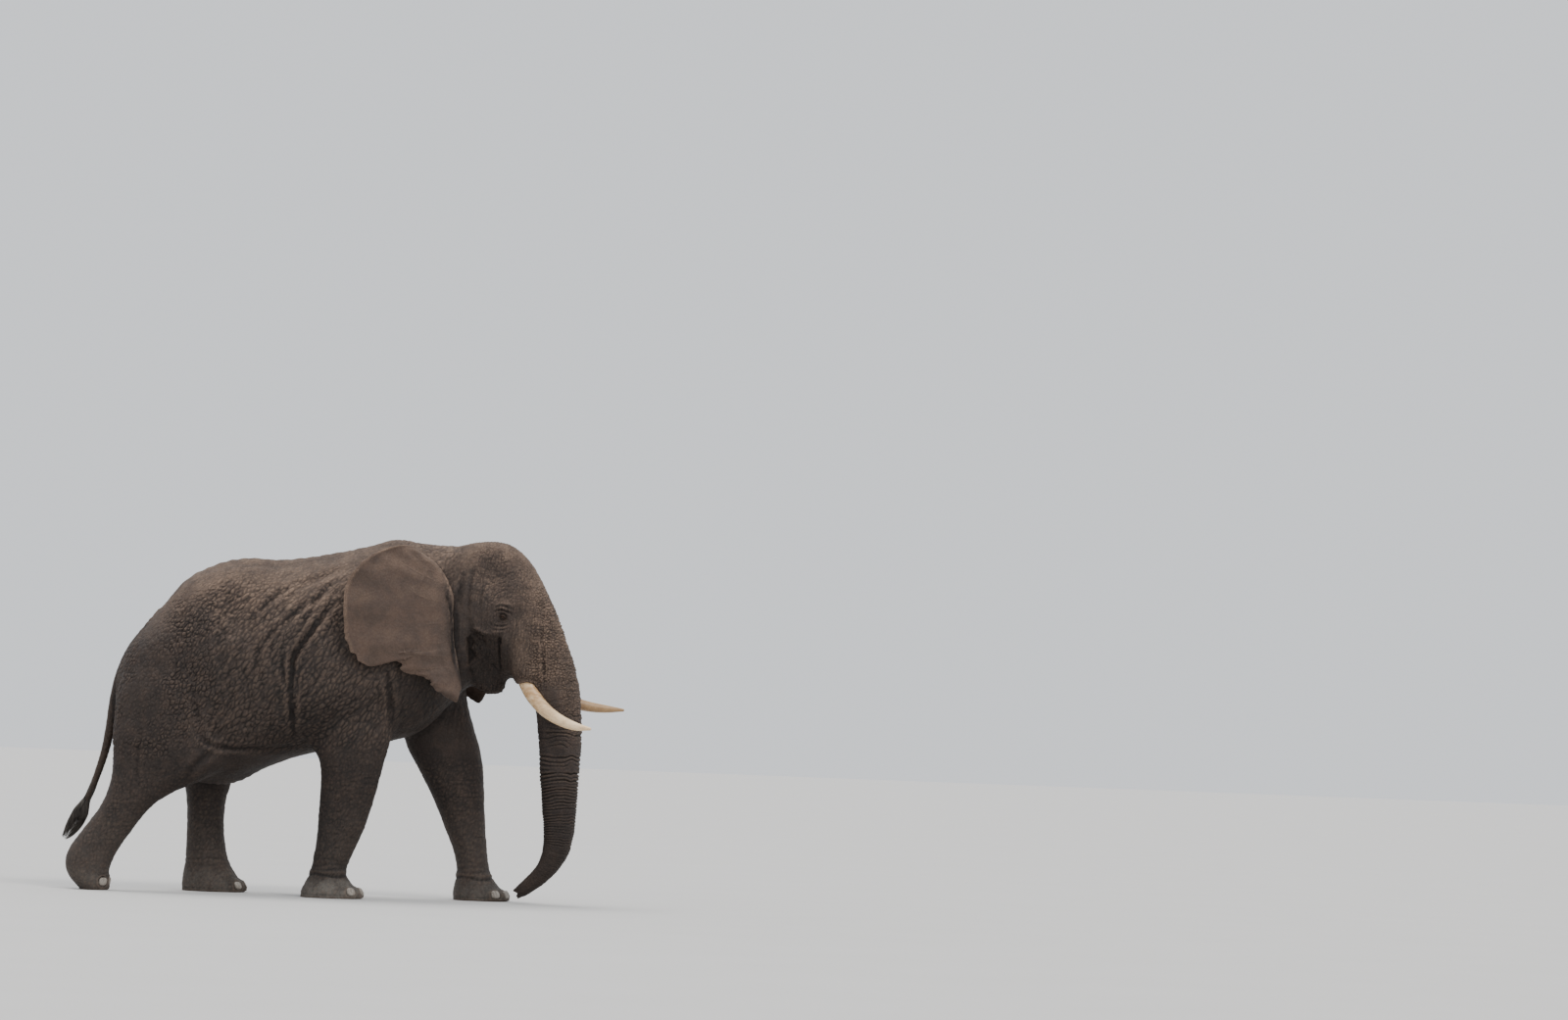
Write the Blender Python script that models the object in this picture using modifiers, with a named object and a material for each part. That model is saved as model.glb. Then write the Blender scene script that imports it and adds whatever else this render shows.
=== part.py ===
"""A bull African elephant in mid stride, life size, as a set of solid parts.

Metres, +Z up.  The animal walks towards +X; its right side faces -Y.  Its head
is turned a little to its right and tipped a little to the same side.
The whole body is lofted from its lines, fused into one flesh, and then parted
with thin cuts into the pieces a keeper would name.
"""
import bpy, bmesh, math
import numpy as np
from mathutils import Vector, Matrix

# ------------------------------------------------------------------ sizes
FLESH_VOXEL = 0.034          # grid the flesh is fused on
FLESH_TRIS = 2600            # triangles kept in the fused flesh
CUT = 0.0004                 # gap between two parted pieces
GROW = 0.0007                # how much wider a socket is than what sits in it
ORIGIN = (-0.0319, 0.0637)          # middle of the whole box, on the floor

HEAD_TURN = math.radians(-12.0)     # to the animal's right
HEAD_TIP = math.radians(4.0)        # right side lower
HEAD_AT = Vector((0.90, 0.0, 2.60)) # where the head turns on the neck

# body lines: x, back, belly, half width, height of the widest line, ridge of the back
BODY_LINES = [
    (-2.125, 1.97, 1.52, 0.14, 1.76, 1.0),
    (-2.08, 2.10, 1.34, 0.32, 1.80, 1.0),
    (-1.96, 2.295, 1.20, 0.45, 1.94, 1.0),
    (-1.76, 2.555, 1.08, 0.545, 2.04, 1.0),
    (-1.52, 2.835, 1.03, 0.60, 2.10, 1.0),
    (-1.27, 2.985, 0.985, 0.635, 2.08, 1.05),
    (-1.01, 3.048, 1.025, 0.675, 2.02, 1.10),
    (-0.74, 3.043, 1.155, 0.715, 1.99, 1.15),
    (-0.47, 3.060, 1.255, 0.735, 2.00, 1.15),
    (-0.20, 3.122, 1.325, 0.73, 2.04, 1.20),
    (0.06, 3.190, 1.37, 0.69, 2.10, 1.25),
    (0.33, 3.278, 1.42, 0.62, 2.18, 1.25),
    (0.60, 3.252, 1.50, 0.545, 2.28, 1.15),
    (0.80, 3.240, 1.66, 0.475, 2.42, 1.05),
    (0.95, 3.242, 1.84, 0.42, 2.52, 1.0),
    (1.10, 3.262, 1.99, 0.38, 2.60, 1.0),
]

# leg lines: height, rear edge, front edge, side offset of the middle, half width
FORE_RIGHT = [
    (2.35, -0.30, 0.50, 0.34, 0.19), (2.15, -0.42, 0.50, 0.37, 0.222),
    (1.90, -0.445, 0.45, 0.385, 0.228), (1.60, -0.395, 0.41, 0.385, 0.213),
    (1.40, -0.315, 0.375, 0.38, 0.200), (1.20, -0.255, 0.325, 0.375, 0.188),
    (0.95, -0.245, 0.275, 0.37, 0.176), (0.72, -0.255, 0.205, 0.365, 0.166),
    (0.50, -0.265, 0.130, 0.36, 0.158), (0.33, -0.290, 0.060, 0.355, 0.157),
    (0.22, -0.310, 0.030, 0.35, 0.168), (0.13, -0.345, 0.085, 0.35, 0.200),
    (0.05, -0.390, 0.185, 0.35, 0.242), (-0.05, -0.390, 0.185, 0.35, 0.242),
]
FORE_LEFT = [
    (2.35, 0.16, 0.98, 0.34, 0.19), (2.15, 0.24, 1.04, 0.37, 0.222),
    (1.85, 0.36, 1.06, 0.385, 0.228), (1.55, 0.47, 1.155, 0.385, 0.213),
    (1.30, 0.575, 1.230, 0.38, 0.200), (1.05, 0.712, 1.258, 0.375, 0.188),
    (0.85, 0.812, 1.270, 0.37, 0.176), (0.62, 0.912, 1.288, 0.365, 0.166),
    (0.42, 0.992, 1.315, 0.36, 0.158), (0.30, 1.020, 1.335, 0.355, 0.159),
    (0.21, 1.020, 1.365, 0.35, 0.170), (0.13, 1.005, 1.425, 0.35, 0.203),
    (0.05, 0.990, 1.520, 0.35, 0.240), (-0.05, 0.990, 1.520, 0.35, 0.240),
]
HIND_RIGHT = [
    (2.25, -1.84, -1.08, 0.27, 0.22), (2.05, -1.99, -1.02, 0.31, 0.262),
    (1.85, -2.085, -1.00, 0.335, 0.278), (1.55, -2.125, -0.98, 0.35, 0.262),
    (1.30, -2.125, -1.00, 0.36, 0.236), (1.12, -2.115, -1.12, 0.355, 0.210),
    (0.98, -2.130, -1.38, 0.35, 0.192), (0.88, -2.155, -1.58, 0.348, 0.184),
    (0.76, -2.205, -1.735, 0.345, 0.175), (0.64, -2.285, -1.83, 0.34, 0.168),
    (0.50, -2.385, -1.93, 0.335, 0.163),
    (0.37, -2.470, -2.020, 0.33, 0.167), (0.25, -2.510, -2.075, 0.33, 0.180),
    (0.15, -2.490, -2.100, 0.33, 0.190), (0.07, -2.430, -2.090, 0.33, 0.192),
    (0.01, -2.360, -2.080, 0.33, 0.182), (-0.05, -2.320, -2.100, 0.33, 0.160),
]
HIND_LEFT = [
    (2.25, -1.70, -1.00, 0.27, 0.22), (2.05, -1.80, -0.95, 0.31, 0.262),
    (1.85, -1.82, -0.92, 0.335, 0.278), (1.55, -1.74, -0.95, 0.35, 0.254),
    (1.30, -1.625, -0.93, 0.36, 0.226), (1.10, -1.530, -1.02, 0.355, 0.202),
    (0.92, -1.480, -1.085, 0.35, 0.184), (0.72, -1.460, -1.105, 0.345, 0.170),
    (0.50, -1.455, -1.090, 0.34, 0.162), (0.33, -1.458, -1.062, 0.335, 0.165),
    (0.20, -1.462, -1.000, 0.33, 0.182), (0.11, -1.475, -0.935, 0.33, 0.203),
    (0.04, -1.480, -0.885, 0.33, 0.212), (-0.05, -1.475, -0.885, 0.33, 0.210),
]

# head lines, in the head's own frame (forward, up from HEAD_AT):
# brow point, throat point, half width, place of the widest line, powers of the section above and below it
HEAD_LINES = [
    ((-0.10, 0.56), (0.04, -0.60), 0.37, 0.52, 2.3, 1.8),
    ((0.10, 0.662), (0.16, -0.58), 0.392, 0.56, 2.4, 1.6),
    ((0.30, 0.694), (0.28, -0.565), 0.395, 0.62, 2.3, 1.5),
    ((0.50, 0.676), (0.40, -0.555), 0.395, 0.65, 2.15, 1.5),
    ((0.660, 0.568), (0.50, -0.550), 0.395, 0.65, 2.15, 1.55),
    ((0.800, 0.362), (0.585, -0.555), 0.388, 0.63, 2.15, 1.7),
    ((0.925, 0.115), (0.655, -0.575), 0.360, 0.60, 2.15, 2.0),
    ((1.037, -0.160), (0.715, -0.625), 0.320, 0.56, 2.15, 2.15),
    ((1.113, -0.395), (0.765, -0.690), 0.275, 0.52, 2.1, 2.1),
    ((1.150, -0.600), (0.810, -0.770), 0.235, 0.50, 2.1, 2.1),
    ((1.150, -0.760), (0.840, -0.860), 0.200, 0.50, 2.1, 2.1),
]
# trunk lines in the world: front point (x, z), rear point (x, z), side place, half width
TRUNK_LINES = [
    ((1.930, 2.42), (1.58, 2.16), -0.210, 0.265),
    ((2.025, 2.18), (1.62, 1.99), -0.225, 0.250),
    ((2.080, 1.95), (1.665, 1.82), -0.237, 0.224),
    ((2.103, 1.72), (1.698, 1.65), -0.245, 0.200),
    ((2.106, 1.45), (1.716, 1.42), -0.250, 0.183),
    ((2.098, 1.15), (1.736, 1.15), -0.252, 0.166),
    ((2.092, 0.90), (1.762, 0.90), -0.252, 0.151),
    ((2.080, 0.68), (1.782, 0.66), -0.250, 0.136),
    ((2.046, 0.48), (1.782, 0.50), -0.248, 0.121),
    ((1.960, 0.325), (1.752, 0.395), -0.246, 0.108),
    ((1.850, 0.205), (1.688, 0.305), -0.245, 0.095),
    ((1.740, 0.115), (1.612, 0.225), -0.244, 0.082),
    ((1.640, 0.052), (1.545, 0.160), -0.243, 0.072),
    ((1.590, 0.030), (1.510, 0.128), -0.243, 0.064),
]
# tail lines: x, z, radius
TAIL_LINES = [
    (-1.70, 2.50, 0.095), (-1.87, 2.30, 0.088), (-1.995, 2.12, 0.074),
    (-2.080, 1.93, 0.060), (-2.130, 1.72, 0.050), (-2.162, 1.46, 0.044),
    (-2.200, 1.24, 0.038), (-2.250, 1.06, 0.034), (-2.302, 0.90, 0.031),
    (-2.352, 0.78, 0.030),
]
TUFT_LINES = [
    (-2.338, 0.812, 0.034, 0.030), (-2.368, 0.745, 0.056, 0.038),
    (-2.400, 0.668, 0.076, 0.046), (-2.440, 0.586, 0.074, 0.046),
    (-2.490, 0.503, 0.054, 0.036), (-2.540, 0.435, 0.024, 0.018),
]
# ear, right side, in the world: root and rim as (x, z, side)
EAR_ROOT = [
    (0.690, 3.060, 0.330), (0.780, 2.950, 0.395), (0.860, 2.780, 0.445),
    (0.895, 2.560, 0.470), (0.912, 2.340, 0.480), (0.945, 2.120, 0.490),
    (0.985, 1.930, 0.500),
]
EAR_RIM = [
    (0.620, 3.150, 0.390), (0.440, 3.200, 0.500), (0.160, 3.110, 0.625),
    (-0.020, 2.940, 0.715), (-0.095, 2.720, 0.775), (-0.085, 2.480, 0.800),
    (-0.030, 2.240, 0.790), (0.190, 2.095, 0.745), (0.375, 2.215, 0.715),
    (0.430, 2.075, 0.690), (0.655, 2.000, 0.640), (0.760, 1.895, 0.610),
    (0.860, 1.835, 0.585), (0.960, 1.800, 0.550),
]
EAR_THICK = 0.022
EAR_LEAN = 0.05              # how far the middle of the ear stands out
EAR_HINGE = Vector((0.90, -0.42, 2.50))
LEFT_FOLD = math.radians(-14)  # the turned head swings the left ear out; it folds back by this
LEFT_LOBE = 0.08             # and its lower lobe stands forward

TUSK_RIGHT = [      # forward, side, up in the head's frame, radius
    (0.665, 0.215, -0.360, 0.068), (0.700, 0.232, -0.470, 0.071),
    (0.755, 0.262, -0.600, 0.070), (0.842, 0.305, -0.725, 0.066),
    (0.960, 0.350, -0.830, 0.059), (1.098, 0.392, -0.903, 0.049),
    (1.245, 0.428, -0.948, 0.036), (1.372, 0.450, -0.962, 0.014),
]
TUSK_LEFT = [
    (0.700, 0.215, -0.360, 0.068), (0.745, 0.232, -0.470, 0.071),
    (0.805, 0.262, -0.595, 0.070), (0.900, 0.305, -0.695, 0.066),
    (1.040, 0.350, -0.770, 0.058), (1.200, 0.394, -0.812, 0.047),
    (1.370, 0.430, -0.832, 0.034), (1.522, 0.450, -0.838, 0.013),
]
EYE = (0.531, 0.372, 0.015)   # forward, side, up in the head's frame
EYE_RADIUS = 0.022

FORE_NAILS, HIND_NAILS = 4, 3
NAIL_SIZE = (0.016, 0.041, 0.038)    # half depth, half width, half height

# feet: name, middle of the sole, side, number of nails
FEET = [("fore_right", -0.10, -1, 4), ("fore_left", 1.26, 1, 4),
        ("hind_right", -2.22, -1, 3), ("hind_left", -1.18, 1, 3)]
# where the nails stand round each foot: middle, half length, half width, height
NAIL_RING = {"fore_right": (-0.1025, 0.2765, 0.236, 0.062), "fore_left": (1.255, 0.253, 0.232, 0.062),
             "hind_right": (-2.285, 0.190, 0.186, 0.075), "hind_left": (-1.180, 0.283, 0.205, 0.062)}
NAIL_SPREAD = {4: [math.radians(v) for v in (-58, -24, 12, 50)],
               3: [math.radians(v) for v in (-38, 2, 42)]}
NAIL_LEAN = {"fore_right": math.radians(-28), "fore_left": math.radians(-28),
             "hind_right": math.radians(10), "hind_left": math.radians(-28)}

# the flesh is parted by these boxes, in this order: name, low, high, placed, turned
REGIONS = [
    ("trunk_tip", (-0.40, -0.40, -0.60), (0.40, 0.40, 0.0), (1.90, -0.245, 0.42), (0, math.radians(-38), 0)),
    ("trunk_lower", (-0.50, -0.40, -0.80), (0.50, 0.40, 0.0), (1.93, -0.25, 0.98), (0, 0, 0)),
    ("trunk_middle", (-0.50, -0.40, -0.90), (0.50, 0.40, 0.0), (1.92, -0.25, 1.50), (0, 0, 0)),
    ("trunk_upper", (-0.60, -0.60, -1.00), (0.60, 0.60, 0.0), (1.90, -0.24, 2.04), (0, math.radians(-24), 0)),
    ("head", (0.0, -1.2, -1.2), (1.6, 1.2, 1.2), (1.13, -0.05, 2.60), (0, math.radians(-8), math.radians(-12))),
    ("foot_fore_right", (-0.45, -0.40, -0.2), (0.45, 0.28, 0.24), (-0.12, -0.35, 0.0), (0, 0, 0)),
    ("lower_leg_fore_right", (-0.50, -0.40, -0.3), (0.50, 0.28, 0.84), (-0.05, -0.36, 0.0), (0, 0, 0)),
    ("upper_leg_fore_right", (-0.46, -0.40, -1.2), (0.45, 0.36, 0.0), (-0.02, -0.46, 1.62), (0, 0, 0)),
    ("foot_fore_left", (-0.45, -0.28, -0.2), (0.45, 0.40, 0.24), (1.24, 0.35, 0.0), (0, 0, 0)),
    ("lower_leg_fore_left", (-0.50, -0.28, -0.3), (0.50, 0.40, 0.84), (1.15, 0.36, 0.0), (0, 0, 0)),
    ("upper_leg_fore_left", (-0.47, -0.36, -1.2), (0.62, 0.40, 0.0), (0.86, 0.46, 1.62), (0, 0, 0)),
    ("foot_hind_right", (-0.45, -0.40, -0.4), (0.45, 0.28, 0.0), (-2.24, -0.33, 0.32), (0, math.radians(30), 0)),
    ("lower_leg_hind_right", (-0.55, -0.40, -0.8), (0.50, 0.28, 0.0), (-2.00, -0.34, 0.80), (0, math.radians(30), 0)),
    ("upper_leg_hind_right", (-0.85, -0.44, -1.2), (0.70, 0.40, 0.0), (-1.72, -0.46, 1.56), (0, math.radians(10), 0)),
    ("foot_hind_left", (-0.45, -0.28, -0.2), (0.45, 0.40, 0.22), (-1.18, 0.34, 0.0), (0, 0, 0)),
    ("lower_leg_hind_left", (-0.50, -0.28, -0.3), (0.50, 0.40, 0.78), (-1.28, 0.34, 0.0), (0, 0, 0)),
    ("upper_leg_hind_left", (-0.62, -0.40, -1.2), (0.55, 0.44, 0.0), (-1.38, 0.46, 1.50), (0, 0, 0)),
    ("neck", (0.0, -1.2, -2.2), (2.0, 1.2, 2.2), (0.55, 0.0, 2.40), (0, math.radians(-22), 0)),
]

SKIN = (0.075, 0.058, 0.048)
EAR_SKIN = (0.11, 0.085, 0.068)
IVORY = (0.72, 0.60, 0.42)
HORN = (0.30, 0.27, 0.23)
HAIR = (0.012, 0.010, 0.009)
EYE_BROWN = (0.020, 0.010, 0.006)


# ------------------------------------------------------------------ helpers
def clear_scene():
    for ob in list(bpy.data.objects):
        bpy.data.objects.remove(ob, do_unlink=True)


def material(name, colour, rough, metallic=0.0):
    mat = bpy.data.materials.get(name) or bpy.data.materials.new(name)
    mat.use_nodes = True
    bsdf = mat.node_tree.nodes["Principled BSDF"]
    bsdf.inputs["Base Color"].default_value = (*colour, 1.0)
    bsdf.inputs["Roughness"].default_value = rough
    bsdf.inputs["Metallic"].default_value = metallic
    return mat


def flatten(row):
    out = []
    for v in row:
        out.extend(v) if isinstance(v, (tuple, list)) else out.append(v)
    return out


def fair(table, count, dims=2):
    """Resample a table of lines at even steps with a monotone cubic."""
    t = np.array([flatten(r) for r in table], float)
    step = np.sqrt((np.diff(t[:, :dims], axis=0) ** 2).sum(1)) + 1e-9
    s = np.concatenate([[0.0], np.cumsum(step)])
    q = np.linspace(0.0, s[-1], count)
    out = np.empty((count, t.shape[1]))
    for k in range(t.shape[1]):
        y = t[:, k]
        d = np.diff(y) / step
        m = np.empty(len(y))
        m[0], m[-1] = d[0], d[-1]
        for i in range(1, len(y) - 1):
            h0, h1 = step[i - 1], step[i]
            m[i] = (d[i - 1] * h1 + d[i] * h0) / (h0 + h1)
            lim = 3.0 * min(abs(d[i - 1]), abs(d[i]))
            m[i] = 0.0 if d[i - 1] * d[i] < 0 and abs(m[i]) > lim else m[i]
        i = np.clip(np.searchsorted(s, q, side="right") - 1, 0, len(step) - 1)
        h = step[i]
        u = (q - s[i]) / h
        out[:, k] = ((1 + 2 * u) * (1 - u) ** 2 * y[i] + u * (1 - u) ** 2 * h * m[i]
                     + u * u * (3 - 2 * u) * y[i + 1] + u * u * (u - 1) * h * m[i + 1])
    return out


def oval(c, side, up, half, rise, drop, count, pow_up=2.0, pow_dn=2.0, ridge=1.0):
    """One closed section: half width to each side, rise above and drop below c."""
    pts = []
    for i in range(count):
        a = 2 * math.pi * (i + 0.5) / count
        ca, sa = math.cos(a), math.sin(a)
        p = 2.0 / (pow_up if sa > 0 else pow_dn)
        x = math.copysign(abs(ca) ** (p * (ridge if sa > 0 else 1.0)), ca)
        y = math.copysign(abs(sa) ** p, sa)
        pts.append(Vector(c) + Vector(side) * (half * x) + Vector(up) * ((rise if sa > 0 else drop) * y))
    return pts


def loft(rings):
    """Closed solid through rings of equal count."""
    bm = bmesh.new()
    rows = [[bm.verts.new(p) for p in ring] for ring in rings]
    n = len(rows[0])
    for a, b in zip(rows, rows[1:]):
        for i in range(n):
            j = (i + 1) % n
            bm.faces.new((a[i], a[j], b[j], b[i]))
    bm.faces.new(list(reversed(rows[0])))
    bm.faces.new(rows[-1])
    bmesh.ops.recalc_face_normals(bm, faces=bm.faces)
    return bm


def head_point(forward, side, up):
    """From the head's frame to the world; side is towards the animal's left."""
    turn = Matrix.Rotation(HEAD_TURN, 3, "Z") @ Matrix.Rotation(HEAD_TIP, 3, "X")
    return HEAD_AT + turn @ Vector((forward, side, up))


def head_axis(v):
    turn = Matrix.Rotation(HEAD_TURN, 3, "Z") @ Matrix.Rotation(HEAD_TIP, 3, "X")
    return turn @ Vector(v)


def path_rings(points, radii, count, flat=1.0, side=None):
    """Round sections square to a path."""
    rings = []
    pts = [Vector(p) for p in points]
    ref = Vector(side) if side is not None else Vector((0, 1, 0))
    for i, p in enumerate(pts):
        d = (pts[min(i + 1, len(pts) - 1)] - pts[max(i - 1, 0)]).normalized()
        s = (ref - d * ref.dot(d)).normalized()
        u = d.cross(s)
        r = radii[i]
        ra, rb = (r, r * flat) if not isinstance(r, (tuple, list)) else r
        rings.append(oval(p, s, u, ra, rb, rb, count))
    return rings


# ------------------------------------------------------------------ shapes
def torso():
    rings = []
    for x, back, belly, half, wide, ridge in fair(BODY_LINES, 34, 1):
        rings.append(oval((x, 0, wide), (0, 1, 0), (0, 0, 1), half, back - wide, wide - belly,
                          40, 2.0, 2.25, ridge))
    return loft(rings)


def leg(lines, sign):
    rings = []
    for z, rear, front, side, half in fair(lines, 26, 2):
        mid, deep = (rear + front) / 2, (front - rear) / 2
        rings.append(oval((mid, sign * side, z), (1, 0, 0), (0, 1, 0), deep, half, half, 28, 2.15, 2.15))
    return loft(rings)


def head():
    rings = []
    side = head_axis((0, 1, 0))
    for fx, fz, tx, tz, half, wide, power, low_power in fair(HEAD_LINES, 22, 2):
        brow, throat = head_point(fx, 0, fz), head_point(tx, 0, tz)
        up = (brow - throat)
        length = up.length
        up.normalize()
        c = brow - up * (length * wide)
        rings.append(oval(c, side, up, half, length * wide, length * (1 - wide), 36, power, low_power))
    return loft(rings)


def cheek(sign):
    """Socket of a tusk: a swelling from below the eye to the lip."""
    lines = [(0.50, 0.20, 0.03, 0.13), (0.60, 0.215, -0.12, 0.155), (0.68, 0.225, -0.28, 0.155),
             (0.730, 0.238, -0.45, 0.146), (0.762, 0.250, -0.568, 0.120)]
    t = fair(lines, 9, 3)
    pts = [head_point(a, sign * b, c) for a, b, c, r in t]
    return loft(path_rings(pts, [r[3] for r in t], 24, side=head_axis((0, 1, 0))))


def jaw():
    lines = [(0.10, -0.28, 0.25, 0.20), (0.22, -0.41, 0.215, 0.180), (0.32, -0.535, 0.160, 0.155),
             (0.405, -0.620, 0.110, 0.125), (0.465, -0.642, 0.072, 0.082), (0.508, -0.627, 0.042, 0.045)]
    t = fair(lines, 12, 2)
    pts = [head_point(a, 0, b) for a, b, w, h in t]
    return loft(path_rings(pts, [(r[2], r[3]) for r in t], 24, side=head_axis((0, 1, 0))))


def trunk():
    side = head_axis((0, 1, 0))
    side.z = 0
    side.normalize()
    rings = []
    for fx, fz, rx, rz, y, half in fair(TRUNK_LINES, 34, 4):
        front, rear = Vector((fx, y, fz)), Vector((rx, y, rz))
        up = front - rear
        d = up.length
        up.normalize()
        rings.append(oval((front + rear) / 2, side, up, half, d / 2, d / 2, 26, 2.1, 2.5))
    return loft(rings)


def tail():
    t = fair(TAIL_LINES, 12, 2)
    return loft(path_rings([(x, 0, z) for x, z, r in t], [r for x, z, r in t], 8))


def tuft():
    t = fair(TUFT_LINES, 9, 2)
    return loft(path_rings([(x, 0.0, z) for x, z, a, b in t], [(b, a) for x, z, a, b in t], 10))


def tusk(lines, sign):
    t = fair(lines, 11, 3)
    pts = [head_point(a, sign * b, c) for a, b, c, r in t]
    return loft(path_rings(pts, [r[3] for r in t], 8, side=head_axis((0, 1, 0))))


def ear(left, rows=16, cols=7):
    """An ear flap: rows down its root, columns out to its rim."""
    root = fair(EAR_ROOT, rows, 2)
    rim = fair(EAR_RIM, rows, 2)
    grid = []
    for i in range(rows):
        f = i / (rows - 1)
        lobe = LEFT_LOBE * max(0.0, (f - 0.55) / 0.45) ** 1.5 if left else 0.0
        a = Vector((root[i][0] + lobe, -root[i][2], root[i][1]))
        b = Vector((rim[i][0] + lobe * 0.4, -rim[i][2], rim[i][1]))
        line = []
        for j in range(-1, cols):
            s = max(j, 0) / (cols - 1)
            p = a.lerp(b, s)
            p.y -= math.sin(math.pi * s) * EAR_LEAN
            if j < 0:                      # the root runs into the head
                p = a + Vector((0.02, 0.16, 0.0))
            if left:                       # the same flap, folded back on the other side
                p = Matrix.Rotation(LEFT_FOLD, 3, "Z") @ (p - EAR_HINGE) + EAR_HINGE
                n = Vector((-math.sin(HEAD_TURN), math.cos(HEAD_TURN), 0.0))
                p = p - n * (2 * (p - HEAD_AT).dot(n))
            line.append(p)
        grid.append(line)
    bm = bmesh.new()
    vs = [[bm.verts.new(p) for p in line] for line in grid]
    for i in range(rows - 1):
        for j in range(len(vs[0]) - 1):
            bm.faces.new((vs[i][j], vs[i + 1][j], vs[i + 1][j + 1], vs[i][j + 1]))
    bmesh.ops.recalc_face_normals(bm, faces=bm.faces)
    return bm


# ------------------------------------------------------------------ objects
PARTS = CUTTERS = None


def new_object(name, bm, coll):
    me = bpy.data.meshes.new(name)
    bm.to_mesh(me)
    bm.free()
    ob = bpy.data.objects.new(name, me)
    coll.objects.link(ob)
    return ob


def evaluated(ob):
    bpy.context.view_layer.update()
    dg = bpy.context.evaluated_depsgraph_get()
    return bpy.data.meshes.new_from_object(ob.evaluated_get(dg), depsgraph=dg)


def bake(ob):
    """Apply the modifiers of an object to its mesh."""
    me = evaluated(ob)
    ob.modifiers.clear()
    old = ob.data
    ob.data = me
    bpy.data.meshes.remove(old)
    return ob


def relax(me, rounds, lam=0.55, mu=-0.57):
    """Even out the mesh without shrinking it (two-step umbrella smoothing)."""
    n = len(me.vertices)
    co = np.empty(n * 3)
    me.vertices.foreach_get("co", co)
    co = co.reshape(n, 3)
    ed = np.empty(len(me.edges) * 2, dtype=np.int64)
    me.edges.foreach_get("vertices", ed)
    ed = ed.reshape(-1, 2)
    src = np.concatenate([ed[:, 0], ed[:, 1]])
    dst = np.concatenate([ed[:, 1], ed[:, 0]])
    deg = np.bincount(src, minlength=n)[:, None]
    for r in range(rounds):
        for f in (lam, mu):
            acc = np.stack([np.bincount(src, weights=co[dst, k], minlength=n) for k in range(3)], 1)
            co = co + f * (acc / deg - co)
    me.vertices.foreach_set("co", co.ravel())
    me.update()


def join(bms, name, coll):
    me = bpy.data.meshes.new(name)
    out = bmesh.new()
    for bm in bms:
        tmp = bpy.data.meshes.new("tmp")
        bm.to_mesh(tmp)
        bm.free()
        out.from_mesh(tmp)
        bpy.data.meshes.remove(tmp)
    out.to_mesh(me)
    out.free()
    ob = bpy.data.objects.new(name, me)
    coll.objects.link(ob)
    return ob


def fuse(name, bms, coll, voxel, rounds, lam=0.55, mu=-0.57):
    ob = join(bms, name, coll)
    mod = ob.modifiers.new("fuse", "REMESH")
    mod.mode = "VOXEL"
    mod.voxel_size = voxel
    mod.adaptivity = 0.0
    bake(ob)
    relax(ob.data, rounds, lam, mu)
    return ob


def grown(ob, amount, name):
    """A copy of a solid, swollen along its normals."""
    bm = bmesh.new()
    bm.from_mesh(ob.data)
    bm.normal_update()
    for v, n in [(v, v.normal.copy()) for v in bm.verts]:
        v.co += n * amount
    return new_object(name, bm, CUTTERS)


def triangles(ob):
    """Fix how the bent quads split, so that a piece and its socket agree."""
    bm = bmesh.new()
    bm.from_mesh(ob.data)
    bmesh.ops.triangulate(bm, faces=bm.faces)
    bm.to_mesh(ob.data)
    bm.free()


def boolean(ob, cutter, how):
    mod = ob.modifiers.new(how, "BOOLEAN")
    mod.operation = how
    mod.solver = "EXACT"
    mod.object = cutter
    bake(ob)


def tidy(ob):
    """Close tiny cracks and drop crumbs left by a cut."""
    bm = bmesh.new()
    bm.from_mesh(ob.data)
    bmesh.ops.remove_doubles(bm, verts=bm.verts, dist=0.00005)
    bmesh.ops.dissolve_degenerate(bm, dist=0.00005, edges=bm.edges)
    # keep only the largest body
    seen, groups = set(), []
    for v in bm.verts:
        if v in seen:
            continue
        stack, group = [v], []
        seen.add(v)
        while stack:
            q = stack.pop()
            group.append(q)
            for e in q.link_edges:
                o = e.other_vert(q)
                if o not in seen:
                    seen.add(o)
                    stack.append(o)
        groups.append(group)
    groups.sort(key=len, reverse=True)
    for g in groups[1:]:
        bmesh.ops.delete(bm, geom=g, context="VERTS")
    bm.to_mesh(ob.data)
    bm.free()


def slab(name, low, high, at=(0, 0, 0), turn=(0, 0, 0)):
    """A box cutter between two corners, in a frame placed and turned."""
    bm = bmesh.new()
    bmesh.ops.create_cube(bm, size=1.0)
    lo, hi = Vector(low), Vector(high)
    m = Matrix.Translation(Vector(at)) @ Matrix.Rotation(turn[2], 4, "Z") @ \
        Matrix.Rotation(turn[1], 4, "Y") @ Matrix.Rotation(turn[0], 4, "X")
    for v in bm.verts:
        p = (lo + hi) / 2 + Vector(v.co[k] * (hi[k] - lo[k]) for k in range(3))
        v.co = m @ p
    return new_object(name, bm, CUTTERS)


def part_off(body, name, low, high, at=(0, 0, 0), turn=(0, 0, 0)):
    """Take what lies in a box off the body as a piece of its own."""
    inner = slab(name + "_in", low, high, at, turn)
    wide = [CUT] * 3
    outer = slab(name + "_out", [a - b for a, b in zip(low, wide)], [a + b for a, b in zip(high, wide)], at, turn)
    piece = bpy.data.objects.new(name, body.data.copy())
    PARTS.objects.link(piece)
    boolean(piece, inner, "INTERSECT")
    boolean(body, outer, "DIFFERENCE")
    tidy(piece)
    tidy(body)
    return piece


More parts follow.
